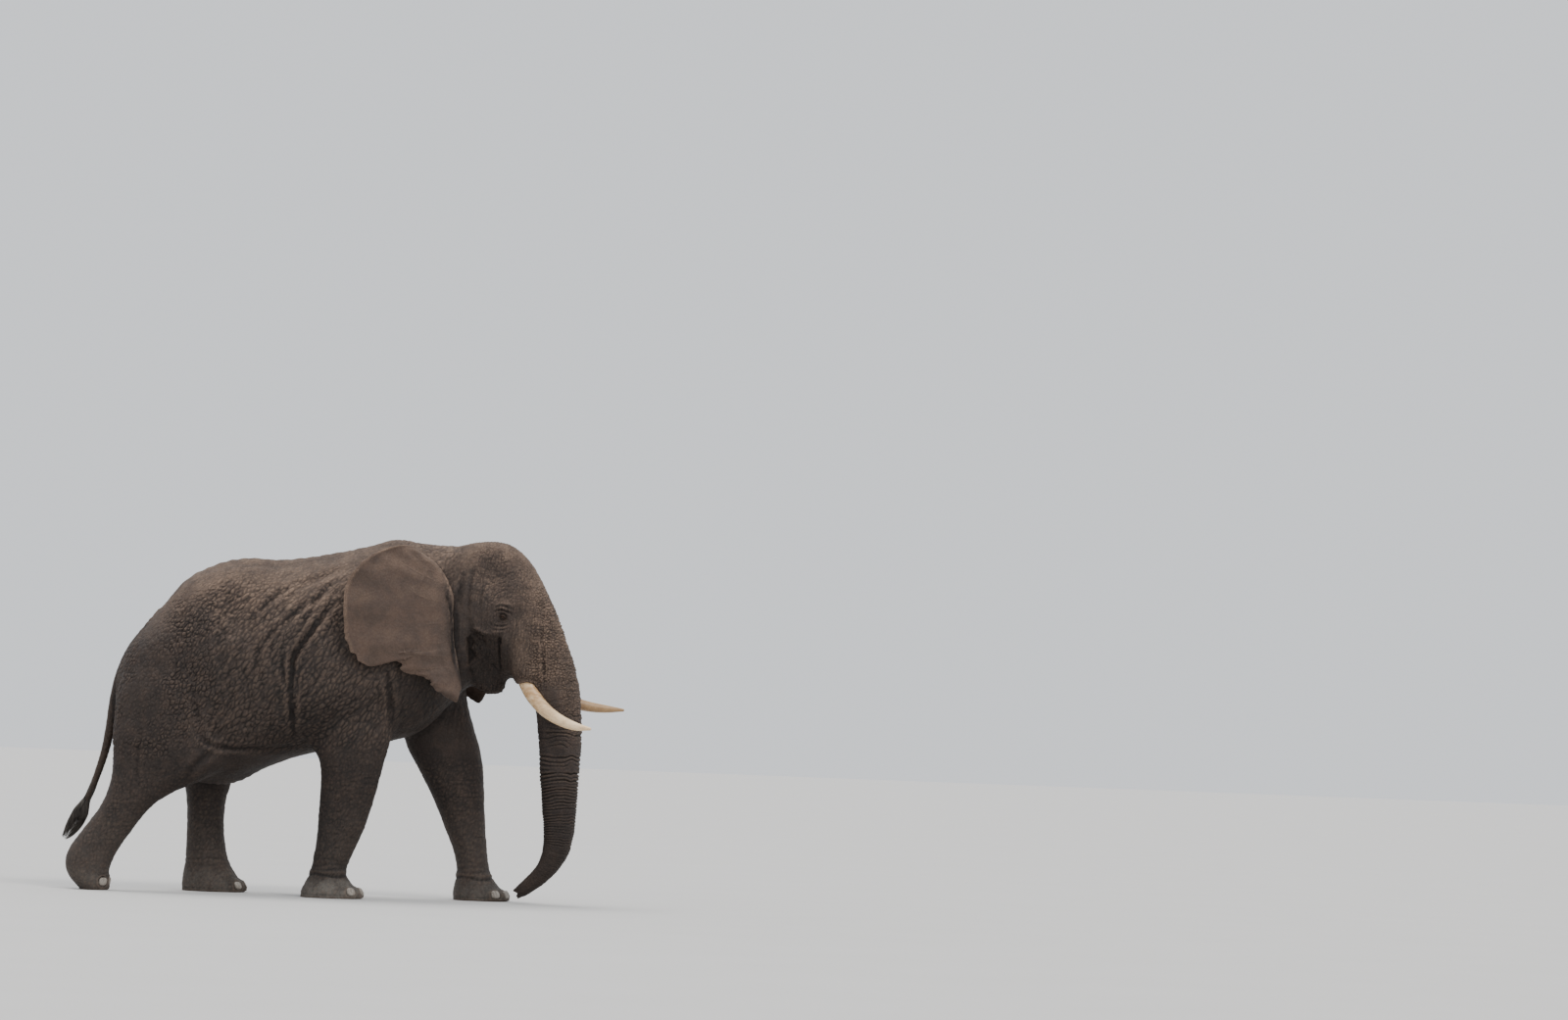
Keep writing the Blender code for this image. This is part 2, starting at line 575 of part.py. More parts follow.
def ellipsoid(name, at, size, turn, coll, u=8, v=4):
    bm = bmesh.new()
    bmesh.ops.create_uvsphere(bm, u_segments=u, v_segments=v, radius=1.0)
    m = Matrix.Translation(Vector(at)) @ turn.to_4x4() @ Matrix.Diagonal((*size, 1.0))
    bmesh.ops.transform(bm, matrix=m, verts=bm.verts)
    return new_object(name, bm, coll)


def nail_place(leg_name, a):
    mid, deep, half, height = NAIL_RING[leg_name]
    side = -1 if leg_name.endswith("right") else 1
    foot = {"fore": 0.35, "hind": 0.33}[leg_name[:4]]
    return Vector((mid + deep * math.cos(a), side * (foot + half * math.sin(a)), height))


def dress(ob, mat):
    ob.data.materials.clear()
    ob.data.materials.append(mat)
    ob.data.shade_smooth()


def main():
    global PARTS, CUTTERS
    clear_scene()
    PARTS = bpy.data.collections.new("elephant")
    CUTTERS = bpy.data.collections.new("cutters")
    bpy.context.scene.collection.children.link(PARTS)
    bpy.context.scene.collection.children.link(CUTTERS)

    skin = material("skin", SKIN, 0.8)
    ear_skin = material("ear_skin", EAR_SKIN, 0.8)
    ivory = material("ivory", IVORY, 0.35)
    horn = material("horn", HORN, 0.6)
    hair = material("hair", HAIR, 0.45)
    eye_brown = material("eye", EYE_BROWN, 0.08)

    # the whole flesh, fused and evened out
    body = fuse("torso", [torso(), head(), cheek(1), cheek(-1), jaw(), trunk(),
                          leg(FORE_RIGHT, -1), leg(FORE_LEFT, 1),
                          leg(HIND_RIGHT, -1), leg(HIND_LEFT, 1)],
                PARTS, FLESH_VOXEL, 14, 0.6, -0.30)
    thin = body.modifiers.new("thin", "DECIMATE")
    thin.ratio = FLESH_TRIS / (2.0 * len(body.data.polygons))
    bake(body)
    # soles: everything below the floor is cut away
    boolean(body, slab("floor", (-4, -2, -1), (4, 2, 0.0)), "DIFFERENCE")
    tidy(body)

    # what grows out of the flesh sits in a socket of its own shape
    solids = []
    for name, lines, sign in (("tusk_right", TUSK_RIGHT, -1), ("tusk_left", TUSK_LEFT, 1)):
        solids.append((new_object(name, tusk(lines, sign), PARTS), ivory))
    for name, sign in (("eye_right", -1), ("eye_left", 1)):
        at = head_point(EYE[0], sign * EYE[1], EYE[2])
        solids.append((ellipsoid(name, at, (EYE_RADIUS,) * 3, Matrix.Identity(3), PARTS, 10, 6), eye_brown))
    for name, left in (("ear_right", False), ("ear_left", True)):
        ob = new_object(name, ear(left), PARTS)
        mod = ob.modifiers.new("thickness", "SOLIDIFY")
        mod.thickness = EAR_THICK
        mod.offset = 0.0
        bake(ob)
        solids.append((ob, ear_skin))
    ob = new_object("tail", tail(), PARTS)
    solids.append((ob, skin))
    for leg_name, at_x, side, count in FEET:
        for k in range(count):
            a = NAIL_SPREAD[count][k]
            at = nail_place(leg_name, a)
            turn = Matrix.Rotation(a * (1 if side > 0 else -1), 3, "Z") @ Matrix.Rotation(NAIL_LEAN[leg_name], 3, "Y")
            ob = ellipsoid("nail_%s_%d" % (leg_name, k + 1), at, NAIL_SIZE, turn, PARTS)
            solids.append((ob, horn))
    for ob, mat in solids:
        triangles(ob)
        boolean(body, grown(ob, GROW, ob.name + "_socket"), "DIFFERENCE")
    tidy(body)
    end = new_object("tail_tuft", tuft(), PARTS)
    boolean(end, grown(bpy.data.objects["tail"], GROW, "tuft_socket"), "DIFFERENCE")
    tidy(end)
    solids.append((end, hair))

    pieces = []
    for name, low, high, at, turn in REGIONS:
        pieces.append(part_off(body, name, low, high, at, turn))
    pieces.append(body)
    for ob in pieces:
        dress(ob, skin)
    for ob, mat in solids:
        dress(ob, mat)
    for ob in CUTTERS.objects:
        ob.hide_render = True
        ob.display_type = "WIRE"
    for ob in PARTS.objects:
        ob.location = (-ORIGIN[0], -ORIGIN[1], 0.0)
    bpy.context.view_layer.update()


if __name__ == "__main__":
    main()
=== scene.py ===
"""The looks of a life-size bull African elephant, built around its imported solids.

One skin takes the place of every node of flesh.  It is fused from the same
lines as the solids, evened out, made finer where the hide is finely folded,
and then worked like clay: hollows, lids, lips, muscles, folds, trunk rings,
wrinkles and hide cells are all moved in the mesh.  Eyes, tusks, nails and
hair are pieces of their own.  Metres, +Z up; it walks towards +X and its
right side faces -Y.
"""
import bpy, bmesh, math, time
import numpy as np
from mathutils import Vector, Matrix
from mathutils.kdtree import KDTree


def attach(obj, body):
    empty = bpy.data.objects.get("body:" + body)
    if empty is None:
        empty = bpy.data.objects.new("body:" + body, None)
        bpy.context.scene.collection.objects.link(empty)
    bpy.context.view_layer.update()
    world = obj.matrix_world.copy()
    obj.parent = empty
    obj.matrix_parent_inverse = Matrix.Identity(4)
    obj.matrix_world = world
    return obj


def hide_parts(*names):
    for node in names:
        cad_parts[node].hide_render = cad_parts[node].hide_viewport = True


T0 = time.time()
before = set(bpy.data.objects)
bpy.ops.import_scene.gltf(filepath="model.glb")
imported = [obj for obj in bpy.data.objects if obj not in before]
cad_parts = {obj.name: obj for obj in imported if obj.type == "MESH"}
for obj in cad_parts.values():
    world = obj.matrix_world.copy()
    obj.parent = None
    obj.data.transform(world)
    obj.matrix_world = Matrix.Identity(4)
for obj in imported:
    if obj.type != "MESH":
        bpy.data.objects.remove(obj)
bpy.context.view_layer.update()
SCENE = bpy.context.scene

SHIFT = np.array((0.0319, -0.0637, 0.0))     # from the body's own lines to the frame
FLESH_VOXEL = 0.034
SKIN_VOXEL = 0.0125
EAR_SOLID = 0.034     # ear thickness while the skin is fused

HEAD_TURN = math.radians(-12.0)     # to the animal's right
HEAD_TIP = math.radians(4.0)        # right side lower
HEAD_AT = Vector((0.90, 0.0, 2.60)) # where the head turns on the neck

# body lines: x, back, belly, half width, height of the widest line, ridge of the back
BODY_LINES = [
    (-2.125, 1.97, 1.52, 0.14, 1.76, 1.0),
    (-2.08, 2.10, 1.34, 0.32, 1.80, 1.0),
    (-1.96, 2.295, 1.20, 0.45, 1.94, 1.0),
    (-1.76, 2.555, 1.08, 0.545, 2.04, 1.0),
    (-1.52, 2.835, 1.03, 0.60, 2.10, 1.0),
    (-1.27, 2.985, 0.985, 0.635, 2.08, 1.05),
    (-1.01, 3.048, 1.025, 0.675, 2.02, 1.10),
    (-0.74, 3.043, 1.155, 0.715, 1.99, 1.15),
    (-0.47, 3.060, 1.255, 0.735, 2.00, 1.15),
    (-0.20, 3.122, 1.325, 0.73, 2.04, 1.20),
    (0.06, 3.190, 1.37, 0.69, 2.10, 1.25),
    (0.33, 3.278, 1.42, 0.62, 2.18, 1.25),
    (0.60, 3.252, 1.50, 0.545, 2.28, 1.15),
    (0.80, 3.240, 1.66, 0.475, 2.42, 1.05),
    (0.95, 3.242, 1.84, 0.42, 2.52, 1.0),
    (1.10, 3.262, 1.99, 0.38, 2.60, 1.0),
]

# leg lines: height, rear edge, front edge, side offset of the middle, half width
FORE_RIGHT = [
    (2.35, -0.30, 0.50, 0.34, 0.19), (2.15, -0.42, 0.50, 0.37, 0.222),
    (1.90, -0.445, 0.45, 0.385, 0.228), (1.60, -0.395, 0.41, 0.385, 0.213),
    (1.40, -0.315, 0.375, 0.38, 0.200), (1.20, -0.255, 0.325, 0.375, 0.188),
    (0.95, -0.245, 0.275, 0.37, 0.176), (0.72, -0.255, 0.205, 0.365, 0.166),
    (0.50, -0.265, 0.130, 0.36, 0.158), (0.33, -0.290, 0.060, 0.355, 0.157),
    (0.22, -0.310, 0.030, 0.35, 0.168), (0.13, -0.345, 0.085, 0.35, 0.200),
    (0.05, -0.390, 0.185, 0.35, 0.242), (-0.05, -0.390, 0.185, 0.35, 0.242),
]
FORE_LEFT = [
    (2.35, 0.16, 0.98, 0.34, 0.19), (2.15, 0.24, 1.04, 0.37, 0.222),
    (1.85, 0.36, 1.06, 0.385, 0.228), (1.55, 0.47, 1.155, 0.385, 0.213),
    (1.30, 0.575, 1.230, 0.38, 0.200), (1.05, 0.712, 1.258, 0.375, 0.188),
    (0.85, 0.812, 1.270, 0.37, 0.176), (0.62, 0.912, 1.288, 0.365, 0.166),
    (0.42, 0.992, 1.315, 0.36, 0.158), (0.30, 1.020, 1.335, 0.355, 0.159),
    (0.21, 1.020, 1.365, 0.35, 0.170), (0.13, 1.005, 1.425, 0.35, 0.203),
    (0.05, 0.990, 1.520, 0.35, 0.240), (-0.05, 0.990, 1.520, 0.35, 0.240),
]
HIND_RIGHT = [
    (2.25, -1.84, -1.08, 0.27, 0.22), (2.05, -1.99, -1.02, 0.31, 0.262),
    (1.85, -2.085, -1.00, 0.335, 0.278), (1.55, -2.125, -0.98, 0.35, 0.262),
    (1.30, -2.125, -1.00, 0.36, 0.236), (1.12, -2.115, -1.12, 0.355, 0.210),
    (0.98, -2.130, -1.38, 0.35, 0.192), (0.88, -2.155, -1.58, 0.348, 0.184),
    (0.76, -2.205, -1.735, 0.345, 0.175), (0.64, -2.285, -1.83, 0.34, 0.168),
    (0.50, -2.385, -1.93, 0.335, 0.163),
    (0.37, -2.470, -2.020, 0.33, 0.167), (0.25, -2.510, -2.075, 0.33, 0.180),
    (0.15, -2.490, -2.100, 0.33, 0.190), (0.07, -2.430, -2.090, 0.33, 0.192),
    (0.01, -2.360, -2.080, 0.33, 0.182), (-0.05, -2.320, -2.100, 0.33, 0.160),
]
HIND_LEFT = [
    (2.25, -1.70, -1.00, 0.27, 0.22), (2.05, -1.80, -0.95, 0.31, 0.262),
    (1.85, -1.82, -0.92, 0.335, 0.278), (1.55, -1.74, -0.95, 0.35, 0.254),
    (1.30, -1.625, -0.93, 0.36, 0.226), (1.10, -1.530, -1.02, 0.355, 0.202),
    (0.92, -1.480, -1.085, 0.35, 0.184), (0.72, -1.460, -1.105, 0.345, 0.170),
    (0.50, -1.455, -1.090, 0.34, 0.162), (0.33, -1.458, -1.062, 0.335, 0.165),
    (0.20, -1.462, -1.000, 0.33, 0.182), (0.11, -1.475, -0.935, 0.33, 0.203),
    (0.04, -1.480, -0.885, 0.33, 0.212), (-0.05, -1.475, -0.885, 0.33, 0.210),
]

# head lines, in the head's own frame (forward, up from HEAD_AT):
# brow point, throat point, half width, place of the widest line, powers of the section above and below it
HEAD_LINES = [
    ((-0.10, 0.56), (0.04, -0.60), 0.37, 0.52, 2.3, 1.8),
    ((0.10, 0.662), (0.16, -0.58), 0.392, 0.56, 2.4, 1.6),
    ((0.30, 0.694), (0.28, -0.565), 0.395, 0.62, 2.3, 1.5),
    ((0.50, 0.676), (0.40, -0.555), 0.395, 0.65, 2.15, 1.5),
    ((0.660, 0.568), (0.50, -0.550), 0.395, 0.65, 2.15, 1.55),
    ((0.800, 0.362), (0.585, -0.555), 0.388, 0.63, 2.15, 1.7),
    ((0.925, 0.115), (0.655, -0.575), 0.360, 0.60, 2.15, 2.0),
    ((1.037, -0.160), (0.715, -0.625), 0.320, 0.56, 2.15, 2.15),
    ((1.113, -0.395), (0.765, -0.690), 0.275, 0.52, 2.1, 2.1),
    ((1.150, -0.600), (0.810, -0.770), 0.235, 0.50, 2.1, 2.1),
    ((1.150, -0.760), (0.840, -0.860), 0.200, 0.50, 2.1, 2.1),
]
# trunk lines in the world: front point (x, z), rear point (x, z), side place, half width
TRUNK_LINES = [
    ((1.930, 2.42), (1.58, 2.16), -0.210, 0.265),
    ((2.025, 2.18), (1.62, 1.99), -0.225, 0.250),
    ((2.080, 1.95), (1.665, 1.82), -0.237, 0.224),
    ((2.103, 1.72), (1.698, 1.65), -0.245, 0.200),
    ((2.106, 1.45), (1.716, 1.42), -0.250, 0.183),
    ((2.098, 1.15), (1.736, 1.15), -0.252, 0.166),
    ((2.092, 0.90), (1.762, 0.90), -0.252, 0.151),
    ((2.080, 0.68), (1.782, 0.66), -0.250, 0.136),
    ((2.046, 0.48), (1.782, 0.50), -0.248, 0.121),
    ((1.960, 0.325), (1.752, 0.395), -0.246, 0.108),
    ((1.850, 0.205), (1.688, 0.305), -0.245, 0.095),
    ((1.740, 0.115), (1.612, 0.225), -0.244, 0.082),
    ((1.640, 0.052), (1.545, 0.160), -0.243, 0.072),
    ((1.590, 0.030), (1.510, 0.128), -0.243, 0.064),
]
# tail lines: x, z, radius
TAIL_LINES = [
    (-1.70, 2.50, 0.095), (-1.87, 2.30, 0.088), (-1.995, 2.12, 0.074),
    (-2.080, 1.93, 0.060), (-2.130, 1.72, 0.050), (-2.162, 1.46, 0.044),
    (-2.200, 1.24, 0.038), (-2.250, 1.06, 0.034), (-2.302, 0.90, 0.031),
    (-2.352, 0.78, 0.030),
]
TUFT_LINES = [
    (-2.338, 0.812, 0.034, 0.030), (-2.368, 0.745, 0.056, 0.038),
    (-2.400, 0.668, 0.076, 0.046), (-2.440, 0.586, 0.074, 0.046),
    (-2.490, 0.503, 0.054, 0.036), (-2.540, 0.435, 0.024, 0.018),
]
# ear, right side, in the world: root and rim as (x, z, side)
EAR_ROOT = [
    (0.690, 3.060, 0.330), (0.780, 2.950, 0.395), (0.860, 2.780, 0.445),
    (0.895, 2.560, 0.470), (0.912, 2.340, 0.480), (0.945, 2.120, 0.490),
    (0.985, 1.930, 0.500),
]
EAR_RIM = [
    (0.690, 3.078, 0.335), (0.440, 3.200, 0.500), (0.160, 3.110, 0.625),
    (-0.020, 2.940, 0.715), (-0.095, 2.720, 0.775), (-0.085, 2.480, 0.800),
    (-0.030, 2.240, 0.790), (0.190, 2.095, 0.745), (0.375, 2.215, 0.715),
    (0.430, 2.075, 0.690), (0.655, 2.000, 0.640), (0.760, 1.895, 0.610),
    (0.860, 1.835, 0.585), (0.960, 1.800, 0.550),
]
EAR_THICK = 0.022
EAR_LEAN = 0.05              # how far the middle of the ear stands out
EAR_HINGE = Vector((0.90, -0.42, 2.50))
LEFT_FOLD = math.radians(-14)  # the turned head swings the left ear out; it folds back by this
LEFT_LOBE = 0.08             # and its lower lobe stands forward

TUSK_RIGHT = [      # forward, side, up in the head's frame, radius
    (0.665, 0.215, -0.360, 0.068), (0.700, 0.232, -0.470, 0.071),
    (0.755, 0.262, -0.600, 0.070), (0.842, 0.305, -0.725, 0.066),
    (0.960, 0.350, -0.830, 0.059), (1.098, 0.392, -0.903, 0.049),
    (1.245, 0.428, -0.948, 0.036), (1.372, 0.450, -0.962, 0.014),
]
TUSK_LEFT = [
    (0.700, 0.215, -0.360, 0.068), (0.745, 0.232, -0.470, 0.071),
    (0.805, 0.262, -0.595, 0.070), (0.900, 0.305, -0.695, 0.066),
    (1.040, 0.350, -0.770, 0.058), (1.200, 0.394, -0.812, 0.047),
    (1.370, 0.430, -0.832, 0.034), (1.522, 0.450, -0.838, 0.013),
]
EYE = (0.531, 0.372, 0.015)   # forward, side, up in the head's frame
EYE_RADIUS = 0.022

NAIL_SIZE = (0.016, 0.041, 0.038)    # half depth, half width, half height

# feet: name, middle of the sole, side, number of nails
FEET = [("fore_right", -0.10, -1, 4), ("fore_left", 1.26, 1, 4),
        ("hind_right", -2.22, -1, 3), ("hind_left", -1.18, 1, 3)]
# where the nails stand round each foot: middle, half length, half width, height
NAIL_RING = {"fore_right": (-0.1025, 0.2765, 0.236, 0.062), "fore_left": (1.255, 0.253, 0.232, 0.062),
             "hind_right": (-2.285, 0.190, 0.186, 0.075), "hind_left": (-1.180, 0.283, 0.205, 0.062)}
NAIL_SPREAD = {4: [math.radians(v) for v in (-58, -24, 12, 50)],
               3: [math.radians(v) for v in (-38, 2, 42)]}
NAIL_LEAN = {"fore_right": math.radians(-28), "fore_left": math.radians(-28),
             "hind_right": math.radians(10), "hind_left": math.radians(-28)}

def flatten(row):
    out = []
    for v in row:
        out.extend(v) if isinstance(v, (tuple, list)) else out.append(v)
    return out


def fair(table, count, dims=2):
    """Resample a table of lines at even steps with a monotone cubic."""
    t = np.array([flatten(r) for r in table], float)
    step = np.sqrt((np.diff(t[:, :dims], axis=0) ** 2).sum(1)) + 1e-9
    s = np.concatenate([[0.0], np.cumsum(step)])
    q = np.linspace(0.0, s[-1], count)
    out = np.empty((count, t.shape[1]))
    for k in range(t.shape[1]):
        y = t[:, k]
        d = np.diff(y) / step
        m = np.empty(len(y))
        m[0], m[-1] = d[0], d[-1]
        for i in range(1, len(y) - 1):
            h0, h1 = step[i - 1], step[i]
            m[i] = (d[i - 1] * h1 + d[i] * h0) / (h0 + h1)
            lim = 3.0 * min(abs(d[i - 1]), abs(d[i]))
            m[i] = 0.0 if d[i - 1] * d[i] < 0 and abs(m[i]) > lim else m[i]
        i = np.clip(np.searchsorted(s, q, side="right") - 1, 0, len(step) - 1)
        h = step[i]
        u = (q - s[i]) / h
        out[:, k] = ((1 + 2 * u) * (1 - u) ** 2 * y[i] + u * (1 - u) ** 2 * h * m[i]
                     + u * u * (3 - 2 * u) * y[i + 1] + u * u * (u - 1) * h * m[i + 1])
    return out


def oval(c, side, up, half, rise, drop, count, pow_up=2.0, pow_dn=2.0, ridge=1.0):
    """One closed section: half width to each side, rise above and drop below c."""
    pts = []
    for i in range(count):
        a = 2 * math.pi * (i + 0.5) / count
        ca, sa = math.cos(a), math.sin(a)
        p = 2.0 / (pow_up if sa > 0 else pow_dn)
        x = math.copysign(abs(ca) ** (p * (ridge if sa > 0 else 1.0)), ca)
        y = math.copysign(abs(sa) ** p, sa)
        pts.append(Vector(c) + Vector(side) * (half * x) + Vector(up) * ((rise if sa > 0 else drop) * y))
    return pts


def loft(rings):
    """Closed solid through rings of equal count."""
    bm = bmesh.new()
    rows = [[bm.verts.new(p) for p in ring] for ring in rings]
    n = len(rows[0])
    for a, b in zip(rows, rows[1:]):
        for i in range(n):
            j = (i + 1) % n
            bm.faces.new((a[i], a[j], b[j], b[i]))
    bm.faces.new(list(reversed(rows[0])))
    bm.faces.new(rows[-1])
    bmesh.ops.recalc_face_normals(bm, faces=bm.faces)
    return bm


def head_point(forward, side, up):
    """From the head's frame to the world; side is towards the animal's left."""
    turn = Matrix.Rotation(HEAD_TURN, 3, "Z") @ Matrix.Rotation(HEAD_TIP, 3, "X")
    return HEAD_AT + turn @ Vector((forward, side, up))


def head_axis(v):
    turn = Matrix.Rotation(HEAD_TURN, 3, "Z") @ Matrix.Rotation(HEAD_TIP, 3, "X")
    return turn @ Vector(v)


def path_rings(points, radii, count, flat=1.0, side=None):
    """Round sections square to a path."""
    rings = []
    pts = [Vector(p) for p in points]
    ref = Vector(side) if side is not None else Vector((0, 1, 0))
    for i, p in enumerate(pts):
        d = (pts[min(i + 1, len(pts) - 1)] - pts[max(i - 1, 0)]).normalized()
        s = (ref - d * ref.dot(d)).normalized()
        u = d.cross(s)
        r = radii[i]
        ra, rb = (r, r * flat) if not isinstance(r, (tuple, list)) else r
        rings.append(oval(p, s, u, ra, rb, rb, count))
    return rings


# ------------------------------------------------------------------ shapes
def torso():
    rings = []
    for x, back, belly, half, wide, ridge in fair(BODY_LINES, 34, 1):
        rings.append(oval((x, 0, wide), (0, 1, 0), (0, 0, 1), half, back - wide, wide - belly,
                          40, 2.0, 2.25, ridge))
    return loft(rings)


def leg(lines, sign):
    rings = []
    for z, rear, front, side, half in fair(lines, 26, 2):
        mid, deep = (rear + front) / 2, (front - rear) / 2
        rings.append(oval((mid, sign * side, z), (1, 0, 0), (0, 1, 0), deep, half, half, 28, 2.15, 2.15))
    return loft(rings)


def head():
    rings = []
    side = head_axis((0, 1, 0))
    for fx, fz, tx, tz, half, wide, power, low_power in fair(HEAD_LINES, 22, 2):
        brow, throat = head_point(fx, 0, fz), head_point(tx, 0, tz)
        up = (brow - throat)
        length = up.length
        up.normalize()
        c = brow - up * (length * wide)
        rings.append(oval(c, side, up, half, length * wide, length * (1 - wide), 36, power, low_power))
    return loft(rings)


def cheek(sign):
    """Socket of a tusk: a swelling from below the eye to the lip."""
    lines = [(0.50, 0.20, 0.03, 0.13), (0.60, 0.215, -0.12, 0.155), (0.68, 0.225, -0.28, 0.155),
             (0.730, 0.238, -0.45, 0.146), (0.762, 0.250, -0.568, 0.120)]
    t = fair(lines, 9, 3)
    pts = [head_point(a, sign * b, c) for a, b, c, r in t]
    return loft(path_rings(pts, [r[3] for r in t], 24, side=head_axis((0, 1, 0))))


def jaw():
    lines = [(0.10, -0.28, 0.25, 0.20), (0.22, -0.41, 0.215, 0.180), (0.32, -0.535, 0.160, 0.155),
             (0.405, -0.620, 0.110, 0.125), (0.465, -0.642, 0.072, 0.082), (0.508, -0.627, 0.042, 0.045)]
    t = fair(lines, 12, 2)
    pts = [head_point(a, 0, b) for a, b, w, h in t]
    return loft(path_rings(pts, [(r[2], r[3]) for r in t], 24, side=head_axis((0, 1, 0))))


def trunk():
    side = head_axis((0, 1, 0))
    side.z = 0
    side.normalize()
    rings = []
    for fx, fz, rx, rz, y, half in fair(TRUNK_LINES, 34, 4):
        front, rear = Vector((fx, y, fz)), Vector((rx, y, rz))
        up = front - rear
        d = up.length
        up.normalize()
        rings.append(oval((front + rear) / 2, side, up, half, d / 2, d / 2, 26, 2.1, 2.5))
    return loft(rings)


def tail():
    t = fair(TAIL_LINES, 12, 2)
    return loft(path_rings([(x, 0, z) for x, z, r in t], [r for x, z, r in t], 8))


def tuft():
    t = fair(TUFT_LINES, 9, 2)
    return loft(path_rings([(x, 0.0, z) for x, z, a, b in t], [(b, a) for x, z, a, b in t], 10))


def tusk(lines, sign):
    t = fair(lines, 11, 3)
    pts = [head_point(a, sign * b, c) for a, b, c, r in t]
    return loft(path_rings(pts, [r[3] for r in t], 8, side=head_axis((0, 1, 0))))




def say(text):
    print("%6.1f s  %s" % (time.time() - T0, text), flush=True)


# ------------------------------------------------------------------ fields
def sstep(lo, hi, x):
    t = np.clip((x - lo) / (hi - lo), 0.0, 1.0)
    return t * t * (3 - 2 * t)


def bell(*pairs):
    """A bell over any number of (offset, width) pairs."""
    q = 0.0
    for d, w in pairs:
        q = q + (d / w) ** 2
    return np.exp(-0.5 * q)


def hashed(ix, iy, iz, seed):
    h = (ix.astype(np.int64) * 374761393 + iy.astype(np.int64) * 668265263
         + iz.astype(np.int64) * 1274126177 + seed * 2246822519) & 0xFFFFFFFF
    h = ((h ^ (h >> 13)) * 1274126177) & 0xFFFFFFFF
    h = ((h ^ (h >> 15)) * 2246822519) & 0xFFFFFFFF
    return h ^ (h >> 16)


def value_noise(p, seed):
    """Smooth noise between 0 and 1 at points p (already scaled)."""
    i = np.floor(p).astype(np.int64)
    f = p - i
    u = f * f * f * (f * (f * 6 - 15) + 10)
    out = np.zeros(len(p))
    for dx in (0, 1):
        wx = u[:, 0] if dx else 1 - u[:, 0]
        for dy in (0, 1):
            wy = u[:, 1] if dy else 1 - u[:, 1]
            for dz in (0, 1):
                wz = u[:, 2] if dz else 1 - u[:, 2]
                h = hashed(i[:, 0] + dx, i[:, 1] + dy, i[:, 2] + dz, seed)
                out += wx * wy * wz * (h & 0xFFFF) / 65535.0
    return out


def fbm(p, seed, octaves=3, gain=0.5):
    out, amp, total = 0.0, 1.0, 0.0
    for k in range(octaves):
        out = out + amp * value_noise(p * (2.03 ** k) + 17.3 * k, seed + k)
        total += amp
        amp *= gain
    return out / total


def cell_noise(p, seed):
    """Distances to the nearest two seeds of a jittered grid."""
    i = np.floor(p).astype(np.int64)
    f = (p - i).astype(np.float32)
    near = np.full(len(p), 9.0, np.float32)
    next_ = np.full(len(p), 9.0, np.float32)
    for dx in (-1, 0, 1):
        for dy in (-1, 0, 1):
            for dz in (-1, 0, 1):
                h = hashed(i[:, 0] + dx, i[:, 1] + dy, i[:, 2] + dz, seed)
                d = (dx + 0.1 + 0.8 * ((h & 1023) / 1023.0).astype(np.float32) - f[:, 0]) ** 2
                d += (dy + 0.1 + 0.8 * (((h >> 10) & 1023) / 1023.0).astype(np.float32) - f[:, 1]) ** 2
                d += (dz + 0.1 + 0.8 * (((h >> 20) & 1023) / 1023.0).astype(np.float32) - f[:, 2]) ** 2
                closer = d < near
                next_ = np.where(closer, near, np.minimum(next_, d))
                near = np.where(closer, d, near)
    return np.sqrt(near), np.sqrt(next_)


def stretched(p, axis, size, longer):
    """Scale points so that a pattern has cells of that size, longer along axis."""
    a = np.array(axis, float)
    a /= np.linalg.norm(a)
    q = p / size
    along = q @ a
    return q - np.outer(along, a) * (1 - 1.0 / longer)


def hide_cells(p, axis, size, longer, seed, warp=0.35):
    """Raised cells of hide parted by grooves, 0 in the grooves and 1 on top."""
    q = stretched(p, axis, size, longer)
    w = np.stack([value_noise(q * 0.6 + 5.1, seed + 11), value_noise(q * 0.6 + 9.7, seed + 12),
                  value_noise(q * 0.6 + 2.3, seed + 13)], 1) - 0.5
    near, far = cell_noise(q + w * 2 * warp, seed)
    return sstep(0.02, 0.42, far - near)


def grooves(p, axis, size, longer, seed, sharp=2.0):
    """Wandering grooves along axis: 0 at the bottom of a groove, 1 between."""
    q = stretched(p, axis, size, longer)
    n = 0.75 * value_noise(q, seed) + 0.25 * value_noise(q * 2.1 + 3.3, seed + 1)
    return np.clip(np.abs(2 * n - 1) * sharp, 0, 1) ** 0.7


def along(p2, pts):
    """Distance from 2-D points to a line of points, and the place along it."""
    pts = np.array(pts, float)
    best = np.full(len(p2), 1e9)
    place = np.zeros(len(p2))
    side = np.zeros(len(p2))
    seg = np.linalg.norm(np.diff(pts, axis=0), axis=1)
    cum = np.concatenate([[0], np.cumsum(seg)])
    for k in range(len(seg)):
        a, b = pts[k], pts[k + 1]
        d = b - a
        t = np.clip(((p2 - a) @ d) / (d @ d), 0, 1)
        v = p2 - (a + t[:, None] * d)
        r = np.sqrt((v ** 2).sum(1))
        hit = r < best
        best = np.where(hit, r, best)
        place = np.where(hit, (cum[k] + t * seg[k]) / cum[-1], place)
        side = np.where(hit, np.sign(v[:, 0] * d[1] - v[:, 1] * d[0]), side)
    return best, place, side


def bent(pts, count=24):
    """A smooth line through a few points."""
    return fair([tuple(p) for p in pts], count, len(pts[0]))


